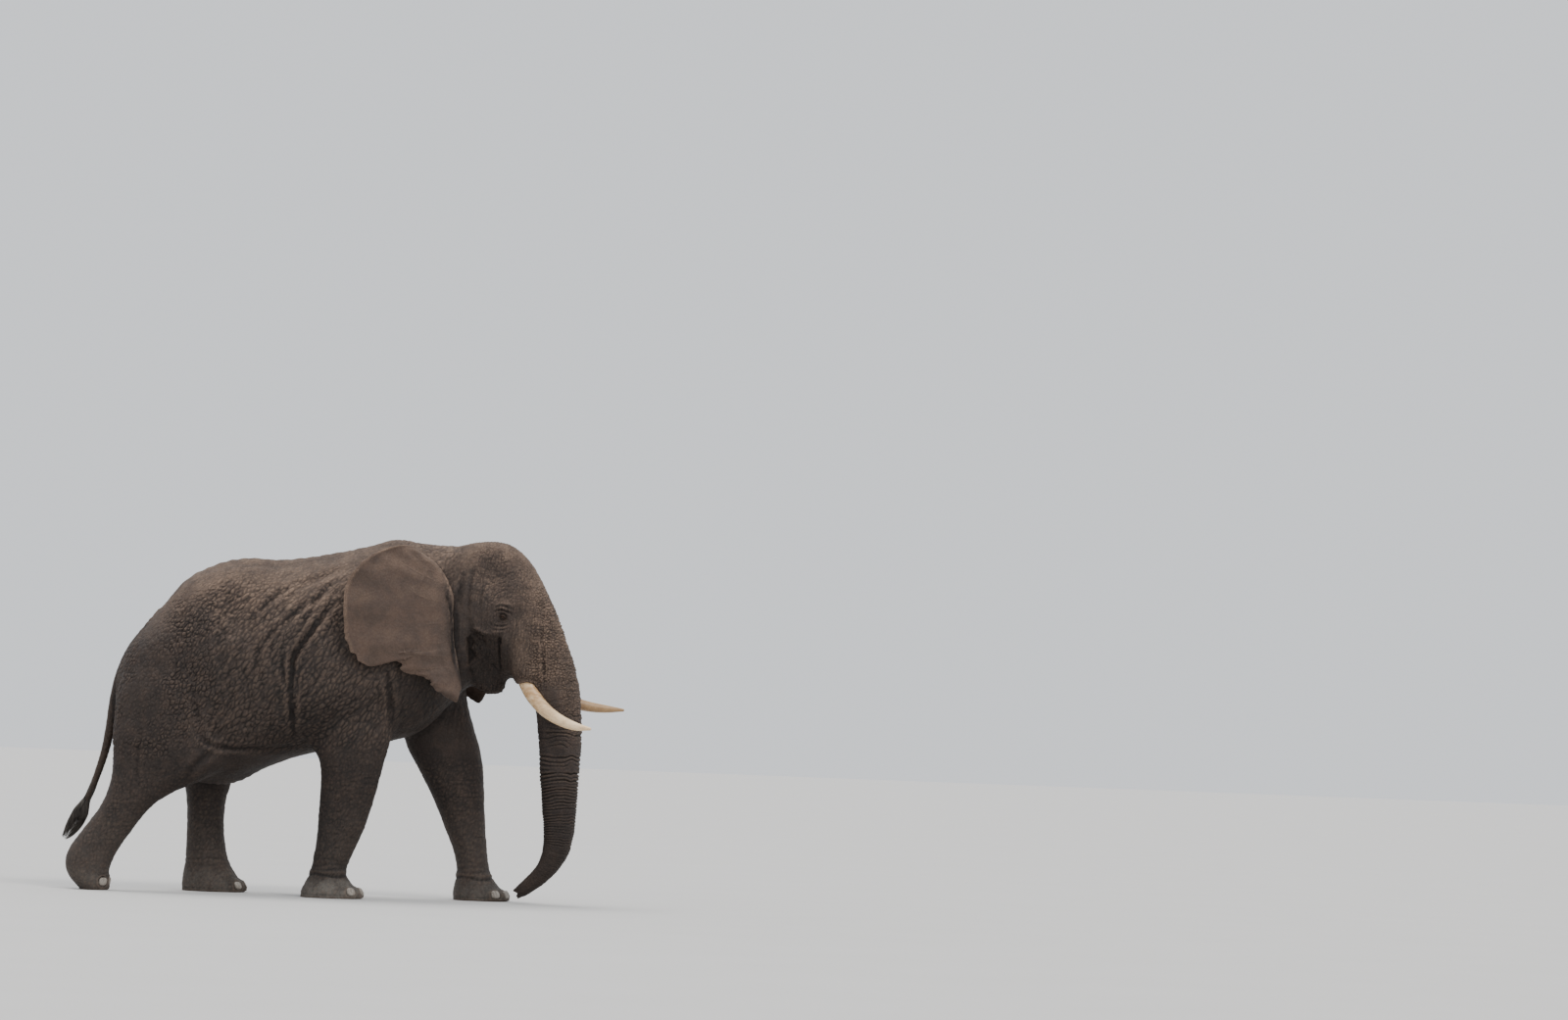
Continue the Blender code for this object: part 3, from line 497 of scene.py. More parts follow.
def crease(p2, pts, width, depth, lip=0.0, one_side=0.0):
    """A groove along a line, deepest in its middle, with raised lips."""
    curve = bent(pts)
    pad = 4.0 * width
    near = np.nonzero(((p2 > curve.min(0) - pad) & (p2 < curve.max(0) + pad)).all(1))[0]
    full = np.zeros(len(p2))
    d, t, s = along(p2[near], curve)
    fade = np.sin(np.pi * np.clip(t, 0, 1)) ** 0.6
    out = -depth * np.exp(-(d / width) ** 2)
    ridge = np.exp(-((d - 2.1 * width) / (1.1 * width)) ** 2)
    if one_side:
        ridge = ridge * (s * one_side > 0)
    full[near] = (out + lip * ridge) * fade
    return full


# ------------------------------------------------------------------ meshes
def coords(me):
    a = np.empty(len(me.vertices) * 3, np.float32)
    me.vertices.foreach_get("co", a)
    return a.reshape(-1, 3).astype(np.float64)


def put(me, v):
    me.vertices.foreach_set("co", np.ascontiguousarray(v, np.float32).ravel())
    me.update()


def vertex_normals(me):
    a = np.empty(len(me.vertices) * 3, np.float32)
    me.vertex_normals.foreach_get("vector", a)
    return a.reshape(-1, 3).astype(np.float64)


def edge_pairs(me):
    e = np.empty(len(me.edges) * 2, np.int32)
    me.edges.foreach_get("vertices", e)
    return e.reshape(-1, 2)


class Ring:
    """Averages over the neighbours of each vertex."""
    def __init__(self, me):
        ed = edge_pairs(me)
        self.n = len(me.vertices)
        self.src = np.concatenate([ed[:, 0], ed[:, 1]])
        self.dst = np.concatenate([ed[:, 1], ed[:, 0]])
        self.deg = np.maximum(np.bincount(self.src, minlength=self.n), 1)

    def mean(self, x):
        if x.ndim == 1:
            return np.bincount(self.src, weights=x[self.dst], minlength=self.n) / self.deg
        return np.stack([self.mean(x[:, k]) for k in range(x.shape[1])], 1)

    def even(self, x, rounds, lam=0.5, mu=-0.53, mask=None):
        w = 1.0 if mask is None else (mask if x.ndim == 1 else mask[:, None])
        for r in range(rounds):
            for f in ((lam, mu) if mu else (lam,)):
                x = x + f * w * (self.mean(x) - x)
        return x


def link(ob):
    SCENE.collection.objects.link(ob)
    return ob


def new_object(name, bm):
    me = bpy.data.meshes.new(name)
    bm.to_mesh(me)
    bm.free()
    return link(bpy.data.objects.new(name, me))


def bake(ob):
    bpy.context.view_layer.update()
    dg = bpy.context.evaluated_depsgraph_get()
    me = bpy.data.meshes.new_from_object(ob.evaluated_get(dg), depsgraph=dg)
    ob.modifiers.clear()
    old = ob.data
    ob.data = me
    bpy.data.meshes.remove(old)
    return ob


def joined(name, obs):
    """One mesh from several; the sources go."""
    out = bmesh.new()
    for ob in obs:
        out.from_mesh(ob.data)
        bpy.data.objects.remove(ob, do_unlink=True)
    return new_object(name, out)


def remesh(ob, voxel):
    mod = ob.modifiers.new("fuse", "REMESH")
    mod.mode = "VOXEL"
    mod.voxel_size = voxel
    mod.adaptivity = 0.0
    return bake(ob)


def biggest_piece(me):
    """Drops every loose bit but the largest."""
    ed = edge_pairs(me)
    n = len(me.vertices)
    label = np.arange(n)
    while True:
        low = np.minimum(label[ed[:, 0]], label[ed[:, 1]])
        new = label.copy()
        np.minimum.at(new, ed[:, 0], low)
        np.minimum.at(new, ed[:, 1], low)
        new = new[new]
        new = new[new]
        if (new == label).all():
            break
        label = new
    keep = np.bincount(label, minlength=n).argmax()
    if (label == keep).all():
        return
    bm = bmesh.new()
    bm.from_mesh(me)
    bm.verts.ensure_lookup_table()
    bmesh.ops.delete(bm, geom=[bm.verts[i] for i in np.nonzero(label != keep)[0]], context="VERTS")
    bm.to_mesh(me)
    bm.free()


def refine(ob, picks):
    """Halves the edges where each pick(points) says so, in turn, then evens the new points."""
    me = ob.data
    v = coords(me)
    bm = bmesh.new()
    bm.from_mesh(me)
    before = len(bm.verts)
    for pick in picks:
        keep = pick(v)
        edges = [e for e in bm.edges if keep[e.verts[0].index] and keep[e.verts[1].index]]
        made = bmesh.ops.subdivide_edges(bm, edges=edges, cuts=1, use_grid_fill=True)
        new = [g for g in made["geom"] if isinstance(g, bmesh.types.BMVert)]
        big = list({f for w in new for f in w.link_faces if len(f.verts) > 4})
        bmesh.ops.triangulate(bm, faces=big)
        bm.verts.index_update()
        v = np.empty((len(bm.verts), 3))
        if pick is not picks[-1]:
            v = np.array([w.co[:] for w in bm.verts])
    bm.to_mesh(me)
    bm.free()
    me.update()
    v = coords(me)
    ring = Ring(me)
    soft = np.zeros(len(v))
    for pick in picks:
        soft = np.maximum(soft, pick(v))
    soft = ring.even(soft, 2, 0.8, None)
    v = ring.even(v, 3, 0.5, -0.52, mask=np.clip(soft, 0, 1))
    put(me, v)
    say("refined %d -> %d points" % (before, len(me.vertices)))


# ------------------------------------------------------------------ the animal's own frames
HEAD_AXES = np.array(Matrix.Rotation(HEAD_TURN, 3, "Z") @ Matrix.Rotation(HEAD_TIP, 3, "X"))


def in_head(v):
    """Forward, side (left is +) and up, from the point where the head turns."""
    return (v - np.array(HEAD_AT)) @ HEAD_AXES


def ear_sheet(left, rows, cols):
    """The middle surface of an ear: rows down its root, columns out to its rim."""
    root = fair(EAR_ROOT, rows, 2)
    rim = fair(EAR_RIM, rows, 2)
    f = np.linspace(0, 1, rows)
    lobe = LEFT_LOBE * np.clip((f - 0.55) / 0.45, 0, None) ** 1.5 if left else f * 0
    a = np.stack([root[:, 0] + lobe, -root[:, 2], root[:, 1]], 1)
    b = np.stack([rim[:, 0] + lobe * 0.4, -rim[:, 2], rim[:, 1]], 1)
    # the rim is nicked and ragged, most of all along its lower edge
    seed = 31 if left else 7
    q = np.stack([f * 26, f * 0 + 0.5, f * 0 + seed], 1)
    rag = (value_noise(q, seed) - 0.55) * 0.030 + (value_noise(q * 2.7, seed + 1) - 0.5) * 0.022
    rag += (value_noise(q * 6.1, seed + 2) - 0.5) * 0.016
    for cut, deep, wide in ((0.505, 0.022, 0.006), (0.575, 0.040, 0.007), (0.655, 0.066, 0.010), (0.712, 0.030, 0.006),
                            (0.765, 0.056, 0.010), (0.825, 0.034, 0.007), (0.880, 0.050, 0.010), (0.935, 0.022, 0.006)):
        rag -= deep * np.clip(1 - np.abs(f - cut - (0.012 if left else 0)) / wide, 0, 1) ** 0.8
    rag = rag * (0.22 + 0.78 * sstep(0.42, 0.60, f)) * sstep(0.0, 0.04, f) * sstep(1.0, 0.96, f)
    out = b - a
    out /= np.linalg.norm(out, axis=1)[:, None]
    s = np.concatenate([[0.0], np.linspace(0, 1, cols)])
    p = a[:, None] + (b - a)[:, None] * s[None, :, None]
    p += out[:, None] * (rag[:, None] * sstep(0.72, 1.0, s)[None, :] ** 1.5)[..., None]
    p[..., 1] -= np.sin(np.pi * s)[None, :] * EAR_LEAN
    # soft folds fan out from the root
    ff, ss = np.meshgrid(f, s, indexing="ij")
    flat = np.stack([ff.ravel() * 5, ss.ravel() * 2.2, np.full(ff.size, seed * 1.3)], 1)
    soft = (fbm(flat, seed + 5, 2) - 0.5).reshape(ff.shape)
    wave = 0.013 * np.sin(2 * np.pi * (3.1 * ff + 0.35 * ss + 0.1)) + 0.009 * np.sin(2 * np.pi * (6.3 * ff - 0.4 * ss))
    wave += 0.0055 * np.sin(2 * np.pi * (13.0 * ff + 0.9 * ss + 0.8 * np.sin(7 * ff))) * sstep(0.15, 0.45, ss)
    g = (wave + 0.050 * soft) * ss ** 1.1 * sstep(0, 0.08, ff)
    g += 0.020 * sstep(0.88, 1.0, ss) * sstep(0.03, 0.2, ff) * sstep(0.62, 0.45, ff)   # the rear edge rolls outward
    g += 0.014 * np.exp(-((ss - 0.16) / 0.07) ** 2) * sstep(0.15, 0.35, ff)            # a soft fold along the root
    p[..., 1] -= g
    hang = sstep(0.90, 0.72, f)[:, None]                  # the root runs into the head; the lobe hangs free
    p[:, 0] = a + np.array((0.02, 0.16, 0.0)) * hang + np.array((-0.004, 0.004, 0.0)) * (1 - hang)
    p[:, 0, 2] -= 0.10 * sstep(0.16, 0.0, f)
    if left:
        turn = np.array(Matrix.Rotation(LEFT_FOLD, 3, "Z"))
        h = np.array(EAR_HINGE)
        p = (p - h) @ turn.T + h
        n = np.array((-math.sin(HEAD_TURN), math.cos(HEAD_TURN), 0.0))
        p = p - n * (2 * ((p - np.array(HEAD_AT)) @ n))[..., None]
    return p, ff, ss


def ear_solid(left, thick):
    p, ff, ss = ear_sheet(left, 230, 70)
    bm = bmesh.new()
    vs = [[bm.verts.new(q) for q in line] for line in p]
    for i in range(len(vs) - 1):
        for j in range(len(vs[0]) - 1):
            bm.faces.new((vs[i][j], vs[i + 1][j], vs[i + 1][j + 1], vs[i][j + 1]))
    bmesh.ops.recalc_face_normals(bm, faces=bm.faces)
    ob = new_object("ear_flap", bm)
    mod = ob.modifiers.new("thickness", "SOLIDIFY")
    mod.thickness = thick
    mod.offset = 0.0
    return bake(ob)


class Ears:
    """Where a point lies on the ears: distance off the sheet, down and out."""
    def __init__(self):
        pos, nrm, fs, ss, lf = [], [], [], [], []
        for left in (False, True):
            p, f, s = ear_sheet(left, 250, 90)
            du, dv = np.gradient(p, axis=0), np.gradient(p, axis=1)
            n = np.cross(du, dv)
            n /= np.linalg.norm(n, axis=2)[..., None] + 1e-12
            n *= np.sign((n[..., 1:2] * (1 if left else -1)) + 1e-9)   # outward from the head
            pos.append(p[:, 1:].reshape(-1, 3)); nrm.append(n[:, 1:].reshape(-1, 3))
            fs.append(f[:, 1:].ravel()); ss.append(s[:, 1:].ravel()); lf.append(np.full(f[:, 1:].size, left))
        self.pos, self.nrm = np.concatenate(pos), np.concatenate(nrm)
        self.f, self.s, self.left = np.concatenate(fs), np.concatenate(ss), np.concatenate(lf)
        self.tree = KDTree(len(self.pos))
        for i, q in enumerate(self.pos):
            self.tree.insert(q, i)
        self.tree.balance()

    def find(self, v):
        n = len(v)
        self.hit = np.zeros(n, np.int64)
        self.far = np.full(n, 9.0)
        box = (v[:, 0] > -0.25) & (v[:, 0] < 1.40) & (np.abs(v[:, 1]) > 0.22) & (v[:, 2] > 1.65)
        for i in np.nonzero(box)[0]:
            co, k, d = self.tree.find(v[i])
            self.hit[i], self.far[i] = k, d
        q, nr = self.pos[self.hit], self.nrm[self.hit]
        off = v - q
        self.dn = (off * nr).sum(1)
        self.dt = np.sqrt(np.maximum((off ** 2).sum(1) - self.dn ** 2, 0))
        self.n = nr
        self.fv, self.sv = self.f[self.hit], self.s[self.hit]
        self.lv = self.left[self.hit]
        return self


def trunk_line():
    rows = fair(TRUNK_LINES, 160, 4)
    side = np.array(head_axis((0, 1, 0)))
    side[2] = 0
    side /= np.linalg.norm(side)
    front = np.stack([rows[:, 0], rows[:, 4], rows[:, 1]], 1)
    rear = np.stack([rows[:, 2], rows[:, 4], rows[:, 3]], 1)
    mid = (front + rear) / 2
    up = front - rear
    deep = np.linalg.norm(up, axis=1) / 2
    up /= 2 * deep[:, None]
    dist = np.concatenate([[0], np.cumsum(np.linalg.norm(np.diff(mid, axis=0), axis=1))])
    return mid, up, side, deep, rows[:, 5], dist


TRUNK = trunk_line()


def in_trunk(v):
    """Distance down the trunk, place towards its front and side (1 at the skin), and weight."""
    mid, up, side, deep, half, dist = TRUNK
    n = len(v)
    t, a, b, w = np.zeros(n), np.zeros(n), np.zeros(n), np.zeros(n)
    pick = np.nonzero((v[:, 0] > 1.35) & (v[:, 2] < 2.75) & (np.abs(v[:, 1] + 0.24) < 0.42))[0]
    for part in np.array_split(pick, max(1, len(pick) // 20000)):
        d = v[part][:, None, :] - mid[None]
        k = (d ** 2).sum(2).argmin(1)
        off = v[part] - mid[k]
        tang = np.gradient(mid, axis=0)
        tang /= np.linalg.norm(tang, axis=1)[:, None]
        t[part] = dist[k] + (off * tang[k]).sum(1)
        a[part] = (off * up[k]).sum(1) / deep[k]
        b[part] = (off @ side) / half[k]
        r = np.sqrt(a[part] ** 2 + b[part] ** 2)
        w[part] = sstep(1.45, 1.2, r)
    return t, a, b, w


LEGS = {"fore_right": (FORE_RIGHT, -1), "fore_left": (FORE_LEFT, 1),
        "hind_right": (HIND_RIGHT, -1), "hind_left": (HIND_LEFT, 1)}


def in_leg(v, name):
    """Place forward and sideways within a leg (1 at the skin) at a point's height."""
    rows, sign = LEGS[name]
    t = np.array(rows)[::-1]
    z = v[:, 2]
    rear, front, side, half = (np.interp(z, t[:, 0], t[:, k]) for k in (1, 2, 3, 4))
    a = (v[:, 0] - (rear + front) / 2) / ((front - rear) / 2)
    b = (v[:, 1] - sign * side) / half
    top = 1.25 if name.startswith("fore") else 1.05
    w = sstep(1.6, 1.25, np.sqrt(a * a + b * b)) * sstep(top + 0.35, top - 0.05, z)
    return a, b, w


# ------------------------------------------------------------------ the skin
EARS = Ears()


def build_skin():
    parts = [torso(), head(), cheek(1), cheek(-1), jaw(), trunk()]
    parts += [leg(rows, sign) for rows, sign in LEGS.values()]
    body = joined("flesh", [new_object("p", bm) for bm in parts])
    remesh(body, FLESH_VOXEL)
    ring = Ring(body.data)
    put(body.data, ring.even(coords(body.data), 14, 0.6, -0.30))
    body.modifiers.new("fine", "SUBSURF").levels = 1
    bake(body)
    bm = bmesh.new()
    bm.from_mesh(body.data)
    geom = bm.verts[:] + bm.edges[:] + bm.faces[:]
    bmesh.ops.bisect_plane(bm, geom=geom, plane_co=(0, 0, 0), plane_no=(0, 0, -1), clear_outer=True)
    bmesh.ops.holes_fill(bm, edges=[e for e in bm.edges if e.is_boundary], sides=0)
    bm.to_mesh(body.data)
    bm.free()
    say("flesh fused, %d points" % len(body.data.vertices))
    rows = fair(TAIL_LINES, 40, 2)
    tail = new_object("t", loft(path_rings([(x, 0, z) for x, z, r in rows], [r for x, z, r in rows], 18)))
    skin = joined("skin", [body, tail, ear_solid(False, EAR_SOLID), ear_solid(True, EAR_SOLID)])
    remesh(skin, SKIN_VOXEL)
    biggest_piece(skin.data)
    me = skin.data
    say("skin fused, %d points" % len(me.vertices))
    v = coords(me)
    sole = v[:, 2] < 0.008
    v = Ring(me).even(v, 3, 0.5, -0.52)
    v[sole | (v[:, 2] < 0.003), 2] = 0.0
    # thin the ears about their middle
    e = EARS.find(v)
    on = (np.abs(e.dn) < 0.75 * EAR_SOLID) & (e.dt < 0.75 * EAR_SOLID)
    half = np.interp(e.sv, [0.0, 0.10, 0.30, 0.80, 0.93, 1.0], [0.5 * EAR_SOLID, 0.42 * EAR_SOLID, 0.010, 0.0065, 0.006, 0.0075])
    k = np.where(on, half / (0.5 * EAR_SOLID), 1.0)
    edge = np.where(on & (e.sv > 0.985), 0.45, 0.0)
    v = v - e.n * (e.dn * (1 - k))[:, None] 
    q = EARS.pos[e.hit] + e.n * (e.dn * k)[:, None]
    v = v + (q - v) * edge[:, None]
    notch = sstep(0.46, 0.53, e.fv) * sstep(0.72, 0.64, e.fv) * sstep(0.20, 0.40, e.sv) * on
    v = Ring(me).even(v, 10, 0.5, -0.505, mask=notch)
    lobe = (np.abs(e.dn) < 0.05) * (e.dt < 0.06) * e.lv * sstep(0.72, 0.84, e.fv) * sstep(2.12, 2.04, v[:, 2])
    v = Ring(me).even(v, 22, 0.5, -0.15, mask=lobe)
    put(me, v)
    say("ears thinned")
    return skin


def ear_weight(v):
    e = EARS.find(v)
    near = (np.abs(e.dn) < 0.022) & (e.dt < 0.03)
    return e, np.where(near, sstep(0.02, 0.12, e.sv), 0.0)


# ------------------------------------------------------------------ large forms
EYE_AT = {s: np.array(head_point(EYE[0], s * EYE[1], EYE[2])) for s in (-1, 1)}

# lines on the side of the head: forward, up
TEMPLE_FOLDS = [[(0.262, 0.50), (0.236, 0.40), (0.214, 0.269), (0.205, 0.12), (0.207, 0.02)],
                [(0.335, 0.30), (0.315, 0.20), (0.300, 0.08)], [(0.150, 0.42), (0.128, 0.28), (0.118, 0.10)]]
EAR_GROOVE = [(-0.150, 0.350), (-0.050, 0.300), (0.030, 0.190), (0.085, 0.040), (0.112, -0.240), (0.140, -0.620)]
JAW_REAR = [(0.190, 0.02), (0.225, -0.10), (0.240, -0.26), (0.235, -0.44), (0.20, -0.56)]
LEDGE = [(0.19, -0.105), (0.30, -0.132), (0.375, -0.150), (0.456, -0.156), (0.527, -0.120)]
CHEEK_REAR = [(0.530, -0.110), (0.522, -0.22), (0.516, -0.361), (0.50, -0.48), (0.47, -0.56)]
MOUTH = [(0.40, -0.430), (0.455, -0.490), (0.515, -0.548)]
NOSE_CREASE = [(0.862, 0.02), (0.878, -0.110), (0.90, -0.35), (0.922, -0.60), (0.93, -0.74)]
UNDER_EYE = [[(0.400, -0.030), (0.455, -0.070), (0.530, -0.072), (0.590, -0.050)],
             [(0.405, -0.066), (0.460, -0.102), (0.525, -0.104), (0.585, -0.085)],
             [(0.640, -0.02), (0.665, -0.09), (0.655, -0.17)]]
OVER_EYE = [[(0.430, 0.035), (0.475, 0.068), (0.535, 0.078), (0.600, 0.050), (0.635, 0.015)],
            [(0.445, 0.085), (0.500, 0.112), (0.565, 0.110), (0.625, 0.080)]]

# lines on the flank: x, z (the right side; the left side's front and rear parts stand further forward)
SHOULDER_FOLD = [(-0.17, 2.68), (-0.331, 2.451), (-0.442, 2.285), (-0.525, 2.129), (-0.533, 2.003),
                 (-0.535, 1.85), (-0.519, 1.636), (-0.479, 1.377)]
SHOULDER_FOLD_2 = [(-0.400, 2.200), (-0.470, 2.050), (-0.490, 1.85), (-0.500, 1.58)]
FLANK_FOLDS = [
    [(-0.624, 2.25), (-0.625, 2.10), (-0.600, 1.95), (-0.565, 1.80)],
    [(-0.214, 2.774), (-0.489, 2.597), (-0.697, 2.392), (-0.842, 2.189), (-0.879, 1.984)],
    [(-0.384, 2.884), (-0.630, 2.758), (-0.869, 2.533), (-1.026, 2.311)],
    [(-0.313, 2.687), (-0.536, 2.513), (-0.710, 2.257), (-0.768, 2.057)],
    [(-0.12, 2.90), (-0.26, 2.78), (-0.40, 2.56), (-0.52, 2.34)],
    [(-0.02, 3.00), (-0.22, 2.93), (-0.46, 2.80), (-0.66, 2.64)],
    [(-0.70, 2.62), (-0.92, 2.36), (-1.05, 2.10), (-1.10, 1.90)]]
BELLY_FOLD = [(-1.46, 1.62), (-1.40, 1.50), (-1.342, 1.419), (-1.204, 1.335), (-0.907, 1.316), (-0.576, 1.335), (-0.36, 1.40)]
HAUNCH_FOLD = [(-1.385, 1.86), (-1.399, 1.70), (-1.345, 1.50), (-1.259, 1.37)]
GROIN_FOLD = [(-1.16, 1.31), (-1.28, 1.22), (-1.38, 1.11), (-1.47, 0.97)]
HAM_LINE = [(-1.86, 1.46), (-1.880, 1.30), (-1.889, 1.14), (-1.88, 0.98)]
CHEST_FOLDS = [[(0.314, 2.10), (0.343, 1.90), (0.373, 1.637), (0.36, 1.46)], [(0.56, 1.50), (0.70, 1.60), (0.92, 1.76)]]
BLADE = [(0.26, 3.00), (0.12, 2.75), (-0.02, 2.45), (0.02, 2.15)]


def eye_frame(side):
    out = np.array((-0.169, -0.986, 0.015)) if side < 0 else np.array((0.255, 0.952, 0.167))
    out /= np.linalg.norm(out)
    fwd = HEAD_AXES[:, 0] - out * (HEAD_AXES[:, 0] @ out)
    fwd /= np.linalg.norm(fwd)
    up = np.cross(out, fwd)
    up *= np.sign(up[2])
    tilt = math.radians(-14)
    a = fwd * math.cos(tilt) + up * math.sin(tilt)
    b = -fwd * math.sin(tilt) + up * math.cos(tilt)
    return a, b, out


def fore_shift(z):
    return np.interp(z, [1.3, 1.6, 1.9, 2.15, 2.35, 2.9], [0.85, 0.84, 0.80, 0.66, 0.46, 0.12])


def hind_shift(z):
    return np.interp(z, [0.9, 1.1, 1.55, 2.05, 2.6], [0.42, 0.35, 0.20, 0.10, 0.0])


def zones(v):
    """How much each point belongs to each part of the animal."""
    z = {}
    e, ear = ear_weight(v)
    h = in_head(v)
    t, a, b, trunk = in_trunk(v)
    z["ear"], z["e"], z["h"], z["t"] = ear, e, h, (t, a, b)
    z["trunk"] = trunk * sstep(0.18, 0.45, t) * (1 - ear)
    z["head"] = sstep(-0.05, 0.20, h[:, 0]) * (1 - ear) * (1 - z["trunk"]) * sstep(1.2, 1.5, v[:, 2])
    leg_w = np.zeros(len(v))
    z["legs"] = {}
    for name in LEGS:
        la, lb, lw = in_leg(v, name)
        lw = lw * (1 - ear) * (1 - trunk)
        z["legs"][name] = (la, lb, lw)
        leg_w = np.maximum(leg_w, lw)
    z["leg"] = leg_w
    d, k, s = along(v[:, [0, 2]], [(x, zz) for x, zz, r in TAIL_LINES])
    r = np.interp(k, [0, 0.3, 1], [0.095, 0.060, 0.030])
    off = np.sqrt(d ** 2 + v[:, 1] ** 2)
    z["tail"] = sstep(1.6, 1.15, off / r) * sstep(0.12, 0.22, k)
    z["tail_t"] = k
    z["body"] = (1 - ear) * (1 - z["head"]) * (1 - leg_w) * (1 - z["trunk"]) * (1 - z["tail"])
    return z


def hollow(f, u, drift):
    """The shaded hollow behind the cheek, below the fold under the eye."""
    ledge_u = np.interp(f, [p[0] for p in LEDGE], [p[1] for p in LEDGE]) + 0.030 * drift
    cheek_f = np.interp(-u, [-p[1] for p in CHEEK_REAR], [p[0] for p in CHEEK_REAR]) + 0.035 * drift
    k = 0.045
    inside = -k * np.log(np.exp(-(ledge_u - u) / k) + np.exp(-(cheek_f - f) / k) + np.exp(-(f - 0.205 + 0.06 * drift) / k) + 1e-9)
    return sstep(-0.020, 0.085, inside) * (0.55 + 0.45 * sstep(-0.62, -0.30, u))


def crevices(f, u, drift):
    """Where that hollow is deepest: along the cheek and in its rear upper corner."""
    cheek_f = np.interp(-u, [-p[1] for p in CHEEK_REAR], [p[0] for p in CHEEK_REAR]) + 0.035 * drift
    edge = np.exp(-((f - cheek_f + 0.020 + 0.02 * drift) / 0.020) ** 2) * sstep(-0.13, -0.20, u)
    corner = bell((f - 0.275 - 0.05 * drift, 0.050), (u + 0.185 + 0.05 * drift, 0.070))
    rear = np.exp(-((f - 0.245 - 0.06 * drift) / 0.018) ** 2) * sstep(-0.13, -0.20, u)
    return np.clip(edge + corner + 0.7 * rear, 0, 1)


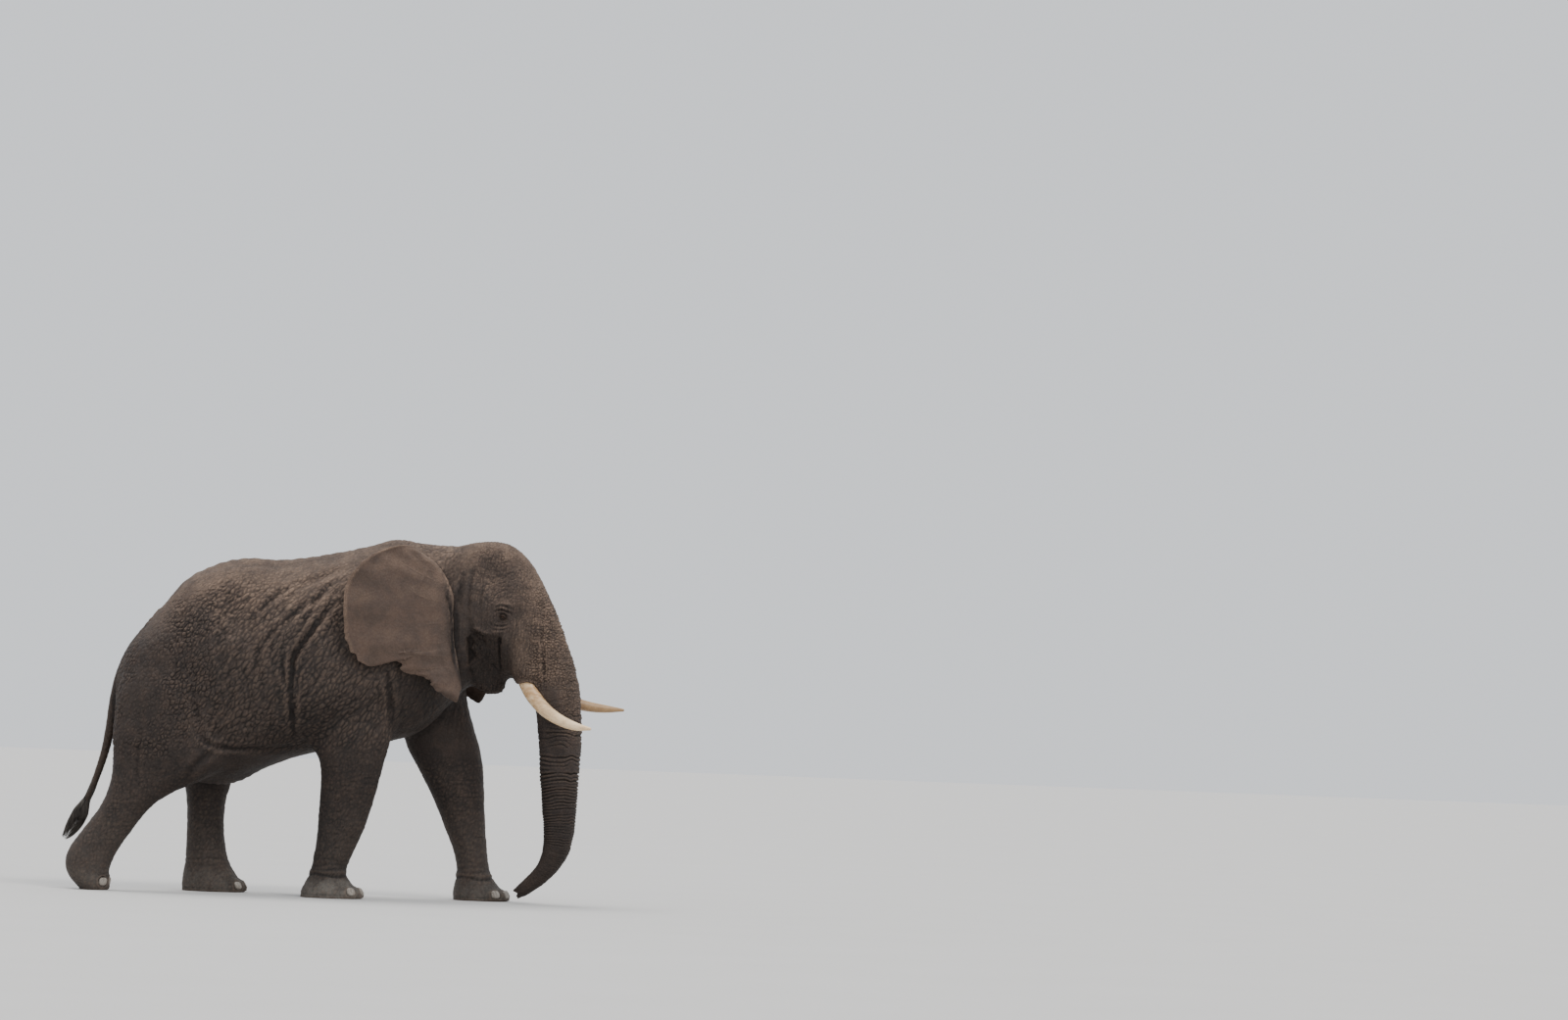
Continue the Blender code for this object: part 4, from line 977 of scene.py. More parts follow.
def large_forms(v, n, z):
    """Hollows, swellings and deep folds, as a move along the normal."""
    out = np.zeros(len(v))
    f, s, u = z["h"].T
    fu = np.stack([f, u], 1)
    # ---- head
    m = z["head"]
    lat = sstep(0.10, 0.26, np.abs(s)) * m
    out -= 0.050 * lat * bell((f - 0.39, 0.115), (u - 0.40, 0.125))            # temple
    out += 0.012 * lat * bell((f - 0.60, 0.05), (u - 0.36, 0.16))
    out += 0.016 * lat * bell((f - 0.55, 0.085), (u - 0.118, 0.035))           # brow
    out += 0.010 * lat * bell((f - 0.42, 0.05), (u - 0.02, 0.05))              # cheek bone
    out -= 0.010 * lat * bell((f - 0.665, 0.04), (u - 0.02, 0.06))
    out += 0.014 * lat * bell((f - 0.66, 0.10), (u + 0.30, 0.20))              # tusk root
    ledge_u = np.interp(f, [p[0] for p in LEDGE], [p[1] for p in LEDGE])
    cheek_f = np.interp(-u, [-p[1] for p in CHEEK_REAR], [p[0] for p in CHEEK_REAR])
    drift = fbm(v / 0.085, 311, 2) - 0.5
    recess = hollow(f, u, drift)
    out -= lat * (0.032 * recess + 0.034 * crevices(f, u, drift) * sstep(0.02, 0.30, recess))
    out += 0.014 * lat * recess * bell((f - 0.385 - 0.04 * drift, 0.050), (u + 0.34, 0.14))    # the jaw shows within it
    edge = ledge_u + 0.030 * drift
    out += 0.012 * lat * np.exp(-((u - edge - 0.022) / 0.024) ** 2) * sstep(0.20, 0.32, f) * sstep(0.56, 0.46, f)
    out += 0.012 * lat * np.exp(-((f - cheek_f - 0.030 - 0.03 * drift) / 0.028) ** 2) * sstep(-0.10, -0.20, u) * sstep(-0.62, -0.48, u)
    out -= 0.004 * m * bell((s, 0.10)) * sstep(0.0, 0.25, u)                     # flat of the forehead
    for line in TEMPLE_FOLDS:
        out += lat * crease(fu + 0.034 * drift[:, None], line, 0.017, 0.008, 0.004)
    out += lat * crease(fu + 0.02 * drift[:, None], JAW_REAR, 0.030, 0.016, 0.005)
    gm = sstep(0.10, 0.26, np.abs(s)) * (1 - z["ear"]) * sstep(-0.30, -0.12, f)
    out += gm * crease(fu, EAR_GROOVE, 0.022, 0.028, 0.0)
    out += lat * crease(fu, NOSE_CREASE, 0.013, 0.010, 0.004)
    out += lat * crease(fu, MOUTH, 0.014, 0.026, 0.008)
    for k, line in enumerate(UNDER_EYE + OVER_EYE):
        out += lat * crease(fu + 0.030 * drift[:, None], line, 0.0095, 0.0056, 0.003)
    # loose folds in the recess behind the cheek
    out += 0.010 * lat * np.clip(recess * 1.3, 0, 1) * (grooves(v, (0.25, 0, 1), 0.075, 5.0, 301, 1.5) - 0.7)
    out += 0.006 * lat * np.clip(recess * 1.3, 0, 1) * (grooves(v, (0.1, 0, 1), 0.026, 4.0, 303, 1.6) - 0.7)
    # ---- trunk
    t, a, b = z["t"]
    m = z["trunk"]
    out += 0.010 * m * bell((a + 0.62, 0.22), (np.abs(b) - 0.80, 0.22)) * sstep(0.7, 1.0, t)    # ridges of the rear corners
    out -= 0.012 * m * sstep(-0.55, -0.95, a) * bell((b, 0.45)) * sstep(0.7, 1.0, t)             # flat rear
    # ---- body
    m = z["body"]
    leg_top = np.clip(m + z["leg"], 0, 1)
    side = np.abs(v[:, 1])
    flank = sstep(0.10, 0.30, side)
    left = v[:, 1] > 0
    zz = v[:, 2]
    xf = np.where(left, v[:, 0] - fore_shift(zz), v[:, 0])
    xh = np.where(left, v[:, 0] - hind_shift(zz), v[:, 0])
    pf, ph = np.stack([xf, zz], 1), np.stack([xh, zz], 1)
    fl = flank * leg_top
    d, k, _ = along(pf, bent(BLADE))
    out += 0.018 * fl * np.exp(-(d / 0.075) ** 2) * np.sin(np.pi * np.clip(k, 0, 1)) ** 0.5
    out += 0.020 * fl * bell((xf - 0.05, 0.20), (zz - 2.02, 0.22))
    out += 0.016 * fl * bell((xf + 0.27, 0.10), (zz - 1.98, 0.24))
    out -= 0.016 * fl * bell((xf - 0.18, 0.07), (zz - 2.35, 0.30))
    out += fl * crease(pf, SHOULDER_FOLD, 0.026, 0.032, 0.010)
    out += fl * crease(pf, SHOULDER_FOLD_2, 0.018, 0.014, 0.006)
    for line, w, dp in zip(FLANK_FOLDS, (0.020, 0.024, 0.026, 0.022, 0.022, 0.028, 0.026),
                           (0.012, 0.014, 0.010, 0.011, 0.009, 0.010, 0.008)):
        out += fl * crease(pf if line[0][0] > -0.65 else np.stack([v[:, 0], zz], 1), line, w, dp, dp * 0.45)
    mid = np.stack([v[:, 0], zz], 1)
    stray = 0.05 * (fbm(v / 0.20, 409, 2) - 0.5)[:, None]
    out += fl * crease(mid + stray, BELLY_FOLD, 0.024, 0.013, 0.006)
    out += fl * crease(ph + stray, HAUNCH_FOLD, 0.034, 0.015, 0.006)
    out += fl * crease(ph + stray, GROIN_FOLD, 0.030, 0.013, 0.008)
    out += fl * crease(ph, HAM_LINE, 0.020, 0.009, 0.004)
    for line in CHEST_FOLDS:
        out += fl * crease(pf if line is CHEST_FOLDS[0] else mid, line, 0.026, 0.018, 0.008) * (~left)
    out += 0.028 * fl * bell((v[:, 0] + 1.46, 0.13), (zz - 2.62, 0.11))         # hip bone
    out -= 0.030 * fl * bell((v[:, 0] + 1.10, 0.15), (zz - 2.52, 0.17))         # hollow before it
    out += 0.022 * fl * bell((xh + 1.72, 0.22), (zz - 1.80, 0.30))
    out -= 0.014 * fl * bell((xh + 2.00, 0.07), (zz - 1.70, 0.30))
    rib = np.sin((v[:, 0] * 0.97 + zz * 0.22) * 2 * np.pi / 0.155)
    out += 0.0035 * fl * rib * bell((v[:, 0] + 0.85, 0.32), (zz - 2.15, 0.36))
    top = m * sstep(0.25, 0.85, n[:, 2]) * sstep(2.0, 2.5, zz)
    knob = np.sin(v[:, 0] * 2 * np.pi / 0.115 + 1.3 * np.sin(v[:, 0] * 5))
    spine = np.exp(-(v[:, 1] / 0.055) ** 2)
    out += top * spine * (0.012 + 0.003 * knob) * sstep(0.2, -0.3, v[:, 0]) * sstep(-1.85, -1.5, v[:, 0])
    out -= 0.012 * top * np.exp(-((side - 0.17) / 0.07) ** 2) * sstep(0.0, -0.4, v[:, 0]) * sstep(-1.5, -1.2, v[:, 0])
    # sheath and its folds under the belly
    under = sstep(-0.2, -0.7, n[:, 2]) * m
    out += 0.030 * under * bell((v[:, 0] + 1.02, 0.14), (v[:, 1], 0.10))
    out += 0.004 * under * np.sin(v[:, 0] * 2 * np.pi / 0.07) * bell((v[:, 0] + 1.05, 0.2), (v[:, 1], 0.14))
    # ---- legs
    for name, (la, lb, lw) in z["legs"].items():
        fore = name.startswith("fore")
        if fore:
            x0 = -0.30 if name.endswith("right") else 0.52
            out += 0.016 * fl * bell((v[:, 0] - x0, 0.06), (zz - 1.34, 0.09))      # point of the elbow
            out += 0.008 * lw * bell((la - 0.9, 0.5), (zz - 0.66, 0.10))
            folds = ((0.205, 0.009), (0.300, 0.006), (0.345, 0.004), (0.262, 0.004))
            out += 0.006 * lw * np.exp(-((zz - 0.232) / 0.014) ** 2)
        else:
            out += 0.010 * lw * bell((la - 0.9, 0.5), (zz - 1.02, 0.10))
            folds = ((0.300, 0.005), (0.250, 0.004))
        if name == "hind_right":
            folds = ()
            for dz, dp in ((0.0, 0.008), (0.035, 0.006), (0.07, 0.004)):
                q = zz - 0.115 - dz - (v[:, 0] + 2.13) * 0.55
                out -= dp * lw * np.exp(-(q / 0.009) ** 2) * sstep(0.3, 0.7, la)
        for zf, dp in folds:
            wob = 0.012 * np.sin(3 * np.arctan2(lb, la) + zf * 40)
            out -= dp * lw * np.exp(-((zz - zf - wob) / 0.011) ** 2)
        out -= 0.006 * lw * np.exp(-((zz - 0.030) / 0.008) ** 2) * (name != "hind_right")
    # long soft unevenness all over
    soft = fbm(v / 0.42, 401, 2) - 0.5
    out += 0.026 * soft * (m + 0.4 * z["leg"] + 0.35 * z["head"])
    soft2 = fbm(v / 0.16, 405, 2) - 0.5
    out += 0.010 * soft2 * (m + 0.5 * z["leg"] + 0.5 * z["head"] + 0.3 * z["trunk"])
    return out


# ------------------------------------------------------------------ hide
def on(mask, size, make, limit=0.02):
    """Evaluates a pattern only where its mask counts."""
    out = np.zeros(size)
    i = np.nonzero(mask > limit)[0]
    if len(i):
        out[i] = make(i) * mask[i]
    return out


def hide_forms(v, n, z):
    """Wrinkles, rings and cells of the hide."""
    size = len(v)
    f, s, u = z["h"].T
    t, a, b = z["t"]
    zz = v[:, 2]
    body, head, trunk, leg_w = z["body"], z["head"], z["trunk"], z["leg"]
    bl = np.clip(body + leg_w * sstep(0.9, 1.5, zz), 0, 1)
    out = np.zeros(size)
    # pebbled rump, fading forwards
    calm_top = 1 - 0.65 * sstep(0.35, 0.85, n[:, 2]) * sstep(2.0, 2.4, zz)
    patchy = 0.45 + 0.55 * sstep(0.35, 0.60, fbm(v / 0.30, 507, 2))
    rump = bl * sstep(-0.75, -1.60, v[:, 0]) * sstep(0.80, 1.45, zz) * (1 - 0.55 * sstep(2.35, 2.75, zz)) * patchy * calm_top
    out += on(rump, size, lambda i: 0.0082 * (hide_cells(v[i], (-0.45, 0, -1), 0.036, 1.35, 501, 0.16) - 0.75)
              + 0.0048 * (hide_cells(v[i], (-0.4, 0, -1), 0.095, 1.8, 505, 0.3) - 0.8)
              + 0.0050 * (grooves(v[i], (-0.5, 0, -1), 0.060, 3.0, 503, 1.7) - 0.7))
    # folds of the flank, running down and back
    flank = bl * sstep(-1.95, -1.3, v[:, 0]) * sstep(0.75, 0.2, v[:, 0]) * sstep(1.15, 1.4, zz) * calm_top
    lean = (-0.62, 0, -1.0)
    front = sstep(-1.25, -0.35, v[:, 0])
    out += on(flank * (0.35 + 0.65 * front), size, lambda i: 0.0052 * (grooves(v[i], lean, 0.115, 6.0, 511, 1.7) - 0.75))
    out += on(flank, size, lambda i: 0.0060 * (grooves(v[i], lean, 0.048, 5.0, 515, 1.6) - 0.7)
              + 0.0054 * (hide_cells(v[i], lean, 0.038, 1.9, 517, 0.25) - 0.75))
    # neck: folds run up and down
    neck = bl * sstep(0.15, 0.5, v[:, 0]) * sstep(1.4, 1.7, zz) + head * sstep(0.30, 0.05, f)
    out += on(np.clip(neck, 0, 1), size, lambda i: 0.0060 * (grooves(v[i], (0.12, 0, 1.0), 0.060, 5.0, 521, 1.7) - 0.7)
              + 0.0022 * (hide_cells(v[i], (0.1, 0, 1), 0.034, 2.0, 523) - 0.75))
    # legs: fine rings of wrinkles
    low = leg_w * sstep(1.55, 1.1, zz)
    out += on(low, size, lambda i: 0.0034 * (grooves(v[i], (1, 0.7, 0), 0.040, 5.0, 531, 1.7) - 0.7) * (1 - 0.6 * sstep(0.5, 0.2, zz[i]))
              + 0.0022 * (hide_cells(v[i], (0.3, 0.3, 1), 0.034, 1.3, 533) - 0.75))
    # broken rings of wrinkles round each eye
    for side in (-1, 1):
        d = v - EYE_AT[side]
        rho = np.linalg.norm(d, axis=1)
        i = np.nonzero(rho < 0.19)[0]
        ax = eye_frame(side)
        pa, pb = d[i] @ ax[0], d[i] @ ax[1]
        flat = np.hypot(pa, pb * 1.25) + 1e-6
        wob = value_noise(v[i] / 0.035, 595) - 0.5
        q = np.stack([flat / 0.0135 + 1.4 * wob, 2.1 * pa / flat, 2.1 * pb / flat], 1)
        cut = 1 - np.clip(np.abs(2 * value_noise(q, 597) - 1) * 2.4, 0, 1) ** 0.8
        out[i] -= 0.0040 * cut * sstep(0.026, 0.045, flat) * sstep(0.150, 0.060, flat)
    # face: fine upright wrinkles on cheek and temple
    face = head * sstep(0.10, 0.3, f)
    lean = HEAD_AXES @ np.array((0.12, 0, 1.0))
    out += on(face, size, lambda i: 0.0050 * (grooves(v[i], lean, 0.028, 4.5, 541, 1.6) - 0.7)
              + 0.0022 * (hide_cells(v[i], lean, 0.024, 1.5, 543) - 0.75))
    lip = head * sstep(-0.575, -0.64, u) * sstep(0.24, 0.30, f)
    out += on(lip, size, lambda i: 0.020 * (fbm(v[i] / np.array((0.030, 0.060, 0.070)), 611, 3) - 0.5)
              + 0.0075 * (grooves(v[i], (0.1, 0, 1), 0.024, 3.0, 613, 1.6) - 0.7))
    # rough bark of the forehead and the upper trunk, broken across
    mid_t = 1 - sstep(0.55, 1.05, t)
    blur = 0.22 * (fbm(v / 0.12, 557, 2) - 0.5)
    bark = np.clip(head * sstep(0.66, 0.94, f - 0.12 * u + 0.8 * blur) + trunk * mid_t * sstep(-0.25, 0.65, a + 2 * blur), 0, 1) * sstep(0.66, 0.40, u)
    across = HEAD_AXES @ np.array((0.0, 1.0, 0.0))
    out += on(bark, size, lambda i: 0.0068 * (hide_cells(v[i], across, 0.027, 2.5, 551, 0.35) - 0.72)
              + 0.0050 * (hide_cells(v[i], across, 0.075, 2.8, 555, 0.4) - 0.8)
              + 0.0040 * (grooves(v[i], across, 0.020, 4.0, 559, 1.7) - 0.7))
    # rings round the trunk
    sp = np.interp(t, [0.2, 0.8, 1.4, 2.0, 2.6], [0.062, 0.055, 0.044, 0.034, 0.026])
    ang = np.arctan2(b, a)
    wob = np.stack([np.cos(ang) * 1.1, np.sin(ang) * 1.1, t * 6], 1)
    q = t / sp + 1.5 * (value_noise(wob, 561) - 0.5) + 0.5 * (value_noise(wob * 2.3, 562) - 0.5)
    ring = np.floor(q)
    off = np.abs(q - ring - 0.5)
    deep = (hashed(ring, ring * 0, ring * 0, 563) & 255) / 255.0
    run = value_noise(np.stack([np.cos(ang) * 1.4, np.sin(ang) * 1.4, ring * 3.7], 1), 564)
    cut = np.exp(-((off / 0.17) ** 2)) * (0.25 + 0.75 * deep) * sstep(0.25, 0.6, run + 0.25 * deep)
    amp = np.interp(t, [0.25, 0.6, 0.85, 1.15, 1.5, 2.1, 2.45, 2.7], [0.0, 0.008, 0.021, 0.023, 0.0120, 0.0044, 0.0020, 0.0010])
    amp = amp * (0.65 + 0.35 * sstep(-0.6, 0.6, a))
    out += trunk * amp * (0.25 - cut)
    out += on(trunk, size, lambda i: 0.0020 * (hide_cells(v[i], (0, 1, 0), 0.022, 1.6, 571) - 0.75))
    # rear corners of the trunk are scalloped
    out += trunk * 0.005 * bell((a + 0.7, 0.2), (np.abs(b) - 0.75, 0.25)) * np.cos(2 * np.pi * q) * sstep(0.8, 1.1, t) * sstep(2.0, 1.5, t)
    # ears: faint folds and veins that fan out
    e = z["e"]
    fan = np.stack([e.fv * 30, e.sv * 3.2, e.lv * 9.0], 1)
    fan2 = np.stack([e.fv * 15 + 0.8 * e.sv, e.sv * 1.6, e.lv * 9.0 + 4.0], 1)
    inner = sstep(1.0, 0.88, e.sv) * (0.4 + 0.6 * sstep(0.08, 0.3, e.sv))
    inner = inner * (1 - sstep(0.47, 0.53, e.fv) * sstep(0.71, 0.65, e.fv) * sstep(0.18, 0.38, e.sv))
    inner = inner * (1 - 0.85 * e.lv * sstep(0.68, 0.80, e.fv))
    out += on(z["ear"] * inner, size, lambda i: 0.0026 * (value_noise(fan[i], 581) - 0.5)
              + 0.0030 * np.exp(-((value_noise(fan2[i], 583) - 0.5) / 0.035) ** 2) * sstep(0.95, 0.5, e.sv[i]))
    out += on(z["ear"], size, lambda i: 0.0013 * (hide_cells(v[i], (0, 0, 1), 0.020, 1.5, 585, 0.4) - 0.75))
    out += z["ear"] * 0.0030 * np.exp(-((e.sv - 0.975) / 0.016) ** 2) * sstep(0.62, 0.5, e.fv) * (e.dn > 0)
    # tail
    out += on(z["tail"], size, lambda i: 0.0026 * (grooves(v[i], (0.2, 1, 0), 0.022, 3.5, 591, 1.7) - 0.7))
    return out


# ------------------------------------------------------------------ eyes and trunk tip
EYE_W, EYE_H, EYE_L = 0.0185, 0.0088, 0.0076      # half length of the opening, its height above and below


def lids(v):
    """Brings the skin over each eyeball, leaving an almond between the lids."""
    v = v.copy()
    for side in (-1, 1):
        a_ax, b_ax, o_ax = eye_frame(side)
        d = v - EYE_AT[side]
        i = np.nonzero((d ** 2).sum(1) < 0.11 ** 2)[0]
        i = i[(d[i] @ o_ax) > -0.02]
        a, b, c = d[i] @ a_ax, d[i] @ b_ax, d[i] @ o_ax
        rho = np.sqrt(a * a + b * b)
        h = np.where(b > 0, EYE_H, EYE_L)
        gap = h * (1 - np.minimum(np.abs(a) / EYE_W, 1.6) ** 2) - np.abs(b)       # positive inside the opening
        r = EYE_RADIUS
        lid = np.sqrt(np.maximum((r + 0.0052) ** 2 - rho ** 2, 0.0)) * sstep(0.030, 0.020, rho)
        ball = np.sqrt(np.maximum((r - 0.006) ** 2 - rho ** 2, 0.0))
        keep = sstep(0.018, 0.046, rho)
        c_new = np.maximum(lid, 0) * (1 - keep) + c * keep
        brim = np.exp(-((gap + 0.0022) / 0.0022) ** 2)
        c_new += 0.0022 * brim * (1 - keep)
        for place, depth, width in ((-0.0085, 0.0040, 0.0018), (-0.0165, 0.0034, 0.0022), (-0.0260, 0.0024, 0.0026)):
            up = (b > 0) * 1.0 + (b <= 0) * 0.8
            c_new -= depth * up * np.exp(-((gap - place) / width) ** 2) * sstep(0.060, 0.040, rho)
            c_new += 0.5 * depth * up * np.exp(-((gap - place - 0.004) / 0.0026) ** 2) * sstep(0.060, 0.040, rho)
        # small folds fan out behind the eye
        ang = np.arctan2(b, -a)
        c_new -= 0.0016 * sstep(0.3, 0.9, np.sin(ang * 13 + 1.0)) * sstep(0.8, 0.3, np.abs(ang)) * bell((rho - 0.040, 0.012))
        c_new = np.where(gap > 0, ball + (c_new - ball) * sstep(0.0022, 0.0, gap), c_new)
        v[i] += o_ax * (c_new - c)[:, None]
    return v


TIP_DIR = np.array((-0.844, 0.0, -0.536))
TIP_UP = np.array((0.536, 0.0, -0.844))            # towards the front of the trunk
TIP_AT = np.array((1.55, -0.243, 0.079))


def tip_forms(v):
    """Two nostrils and the two fingers of the trunk's end."""
    v = v.copy()
    d = v - TIP_AT
    i = np.nonzero((d ** 2).sum(1) < 0.22 ** 2)[0]
    a, b, c = d[i] @ TIP_DIR, d[i] @ TIP_UP, d[i][:, 1]
    end = np.percentile(a, 99.7)
    cap = sstep(end - 0.060, end - 0.012, a)
    def lobe(b0, rb, rc):
        return sstep(1.05, 0.35, np.sqrt(((b - b0) / rb) ** 2 + (c / rc) ** 2))

    hole = bell((b + 0.004, 0.0120), (c - 0.0185, 0.0095)) + bell((b + 0.004, 0.0120), (c + 0.0185, 0.0095))
    dish = bell((b, 0.030), (c, 0.034))
    rim = np.exp(-((np.sqrt((b / 0.046) ** 2 + (c / 0.050) ** 2) - 1) / 0.22) ** 2)
    move = cap * (-0.010 * dish - 0.044 * np.minimum(hole, 1.0) + 0.010 * rim
                  + 0.016 * lobe(0.028, 0.034, 0.046) + 0.004 * lobe(-0.032, 0.034, 0.046))
    v[i] += TIP_DIR * move[:, None]
    return v


# ------------------------------------------------------------------ the bake map of the skin
def chart(co, box, lo, hi):
    """Fits coordinates between lo and hi into a box of the map."""
    x0, y0, x1, y1 = box
    t = (co - np.array(lo)) / (np.array(hi) - np.array(lo))
    t = np.clip(t, 0.0, 1.0)
    return np.stack([x0 + t[:, 0] * (x1 - x0), y0 + t[:, 1] * (y1 - y0)], 1)


def bake_map(me, v, z):
    """An unwrap by the animal's own parts: body, head, trunk, legs, ears, tail."""
    nl = len(me.loops)
    lv = np.empty(nl, np.int32)
    me.loops.foreach_get("vertex_index", lv)
    total = np.empty(len(me.polygons), np.int32)
    me.polygons.foreach_get("loop_total", total)
    face = np.repeat(np.arange(len(total)), total)

    def face_mean(x):
        return np.bincount(face, weights=x, minlength=len(total)) / total

    e = z["e"]
    w = np.stack([z["body"] + 0.02, z["head"], z["trunk"], z["legs"]["fore_right"][2], z["legs"]["fore_left"][2],
                  z["legs"]["hind_right"][2], z["legs"]["hind_left"][2],
                  z["ear"] * (~e.lv) * (e.dn > 0), z["ear"] * (~e.lv) * (e.dn <= 0),
                  z["ear"] * e.lv * (e.dn > 0), z["ear"] * e.lv * (e.dn <= 0), z["tail"]], 1)
    fw = np.stack([face_mean(w[lv, k]) for k in range(w.shape[1])], 1)
    label = fw.argmax(1)[face]

    def turn(y, x):
        """Angle of each corner, unbroken within a face."""
        ang = np.arctan2(y, x)[lv]
        mean = np.arctan2(face_mean(np.sin(ang)), face_mean(np.cos(ang)))[face]
        return mean + (ang - mean + np.pi) % (2 * np.pi) - np.pi

    h = z["h"] - np.array((0.42, 0.0, -0.02))
    t, a, b = z["t"]
    pi = math.pi + 0.08
    uv = np.zeros((nl, 2))
    jobs = [
        (0, np.stack([v[lv, 0], turn(v[:, 1], v[:, 2] - 2.05)], 1), (0.01, 0.01, 0.60, 0.60), (-2.3, -pi), (1.5, pi)),
        (1, np.stack([turn(h[:, 1], h[:, 0]), np.arctan2(h[:, 2], np.hypot(h[:, 0], h[:, 1]))[lv]], 1),
         (0.62, 0.01, 0.99, 0.34), (-pi, -1.6), (pi, 1.6)),
        (2, np.stack([t[lv], turn(b, a)], 1), (0.62, 0.36, 0.99, 0.52), (0.1, -pi), (2.9, pi)),
    ]
    for k, name in enumerate(LEGS):
        la, lb, _ = z["legs"][name]
        jobs.append((3 + k, np.stack([turn(lb, la), v[lv, 2]], 1), (0.01 + 0.15 * k, 0.62, 0.15 + 0.15 * k, 0.85), (-pi, -0.05), (pi, 1.65)))
    for k in range(4):
        jobs.append((7 + k, np.stack([e.sv[lv], e.fv[lv]], 1), (0.62 + 0.095 * k, 0.54, 0.705 + 0.095 * k, 0.80), (-0.02, -0.02), (1.02, 1.02)))
    jobs.append((11, np.stack([turn(v[:, 1], v[:, 0] - np.interp(v[:, 2], [p[1] for p in TAIL_LINES][::-1], [p[0] for p in TAIL_LINES][::-1])),
                               z["tail_t"][lv]], 1), (0.62, 0.82, 0.72, 0.99), (-pi, 0.0), (pi, 1.02)))
    for k, co, box, lo, hi in jobs:
        m = label == k
        uv[m] = chart(co[m], box, lo, hi)
    layer = me.uv_layers.new(name="OFBake")
    layer.data.foreach_set("uv", uv.astype(np.float32).ravel())


# ------------------------------------------------------------------ work the skin
def front_part(v):
    h = in_head(v)
    _, w = ear_weight(v)
    return (h[:, 0] > 0.02) & (w < 0.15) & (v[:, 0] > 0.95) & ((np.abs(v[:, 1] + 0.12) < 0.52)) & ((v[:, 2] > 1.9) | (v[:, 0] > 1.5))


def ear_part(v):
    _, w = ear_weight(v)
    return w > 0.25


def rear_part(v):
    return (v[:, 0] < -1.25) & (v[:, 2] > 1.10) & (v[:, 2] < 2.75) & (np.abs(v[:, 1]) > 0.12)


def near_eyes(radius):
    def pick(v):
        return np.minimum(np.linalg.norm(v - EYE_AT[-1], axis=1), np.linalg.norm(v - EYE_AT[1], axis=1)) < radius
    return pick


def collars(v):
    """A lip of skin round each tusk where it comes out."""
    v = v.copy()
    for lines, sign in ((TUSK_RIGHT, -1), (TUSK_LEFT, 1)):
        t = fair(lines, 60, 3)
        pts = np.array([head_point(a, sign * b, c) for a, b, c, r in t])
        i = np.nonzero(np.linalg.norm(v - pts[8], axis=1) < 0.28)[0]
        d = v[i][:, None] - pts[None, :34]
        k = (d ** 2).sum(2).argmin(1)
        off = v[i] - pts[k]
        gap = np.linalg.norm(off, axis=1) - t[k, 3]
        down = np.gradient(pts, axis=0)
        down /= np.linalg.norm(down, axis=1)[:, None]
        away = off / (np.linalg.norm(off, axis=1)[:, None] + 1e-9)
        end = sstep(2, 9, k)
        lip = 0.018 * np.exp(-((gap - 0.010) / 0.012) ** 2) * end
        v[i] += down[k] * lip[:, None] + away * (0.006 * np.exp(-((gap - 0.016) / 0.012) ** 2) * end)[:, None]
    return v


def near_tip(v):
    return np.linalg.norm(v - (TIP_AT - 0.03 * TIP_DIR), axis=1) < 0.125


def nail_frames():
    out = []
    for leg_name, at_x, side, count in FEET:
        for k in range(count):
            a = NAIL_SPREAD[count][k]
            mid, deep, half, height = NAIL_RING[leg_name]
            foot = {"fore": 0.35, "hind": 0.33}[leg_name[:4]]
            at = np.array((mid + deep * math.cos(a), side * (foot + half * math.sin(a)), height))
            turn = Matrix.Rotation(a * side, 3, "Z") @ Matrix.Rotation(NAIL_LEAN[leg_name], 3, "Y")
            out.append((leg_name, k + 1, at, turn))
    return out


def cushions(v):
    """Beds every toe nail in the foot."""
    v = v.copy()
    for leg_name, k, at, turn in nail_frames():
        m = np.array(turn)
        d = v - at
        i = np.nonzero((d ** 2).sum(1) < 0.14 ** 2)[0]
        q = d[i] @ m
        rho = np.sqrt((q[:, 1] / 0.047) ** 2 + (q[:, 2] / 0.044) ** 2)
        core = rho < 1.0
        here = np.median(q[core, 0]) if core.any() else 0.0
        push = min(max(0.004 - here, -0.02), 0.040)
        bed = push * sstep(2.3, 1.0, rho) + 0.006 * np.exp(-((rho - 1.28) / 0.16) ** 2) - 0.004 * np.exp(-((rho - 1.04) / 0.07) ** 2)
        out = m[:, 0].copy()
        out[2] = 0.0
        out /= np.linalg.norm(out)
        v[i] += out * (bed * sstep(-0.09, -0.04, q[:, 0]) * sstep(-0.002, 0.010, v[i, 2]))[:, None]
    return v


skin = build_skin()
wide_picks = [lambda v: front_part(v) | rear_part(v) | ear_part(v)]
refine(skin, wide_picks)
refine(skin, [lambda v: near_eyes(0.085)(v) | near_tip(v), near_eyes(0.052), near_eyes(0.034)])

me = skin.data
v = coords(me)
base_n = vertex_normals(me)
Z = zones(v)
say("zones known, %d points" % len(v))
v = cushions(v)
move = large_forms(v, base_n, Z)
ring = Ring(me)
move = ring.even(move, 2, 0.5, None)
v1 = v + base_n * move[:, None]
v1[v[:, 2] < 0.004, 2] = 0.0
put(me, v1)
n1 = vertex_normals(me)
say("large forms")
floor = sstep(0.0, 0.02, v[:, 2])
calm = np.ones(len(v))
for side in (-1, 1):
    calm *= 1 - 0.85 * bell((np.linalg.norm(v - EYE_AT[side], axis=1), 0.035))
move = hide_forms(v1, n1, Z) * floor * calm
v2 = v1 + n1 * move[:, None]
v2 = collars(v2)
v2 = lids(v2)
v2 = tip_forms(v2)
v2 = ring.even(v2, 3, 0.5, -0.30, mask=near_tip(v).astype(float))
v2[v[:, 2] < 0.004, 2] = 0.0
v2[:, 2] = np.maximum(v2[:, 2], 0.0)
put(me, v2)
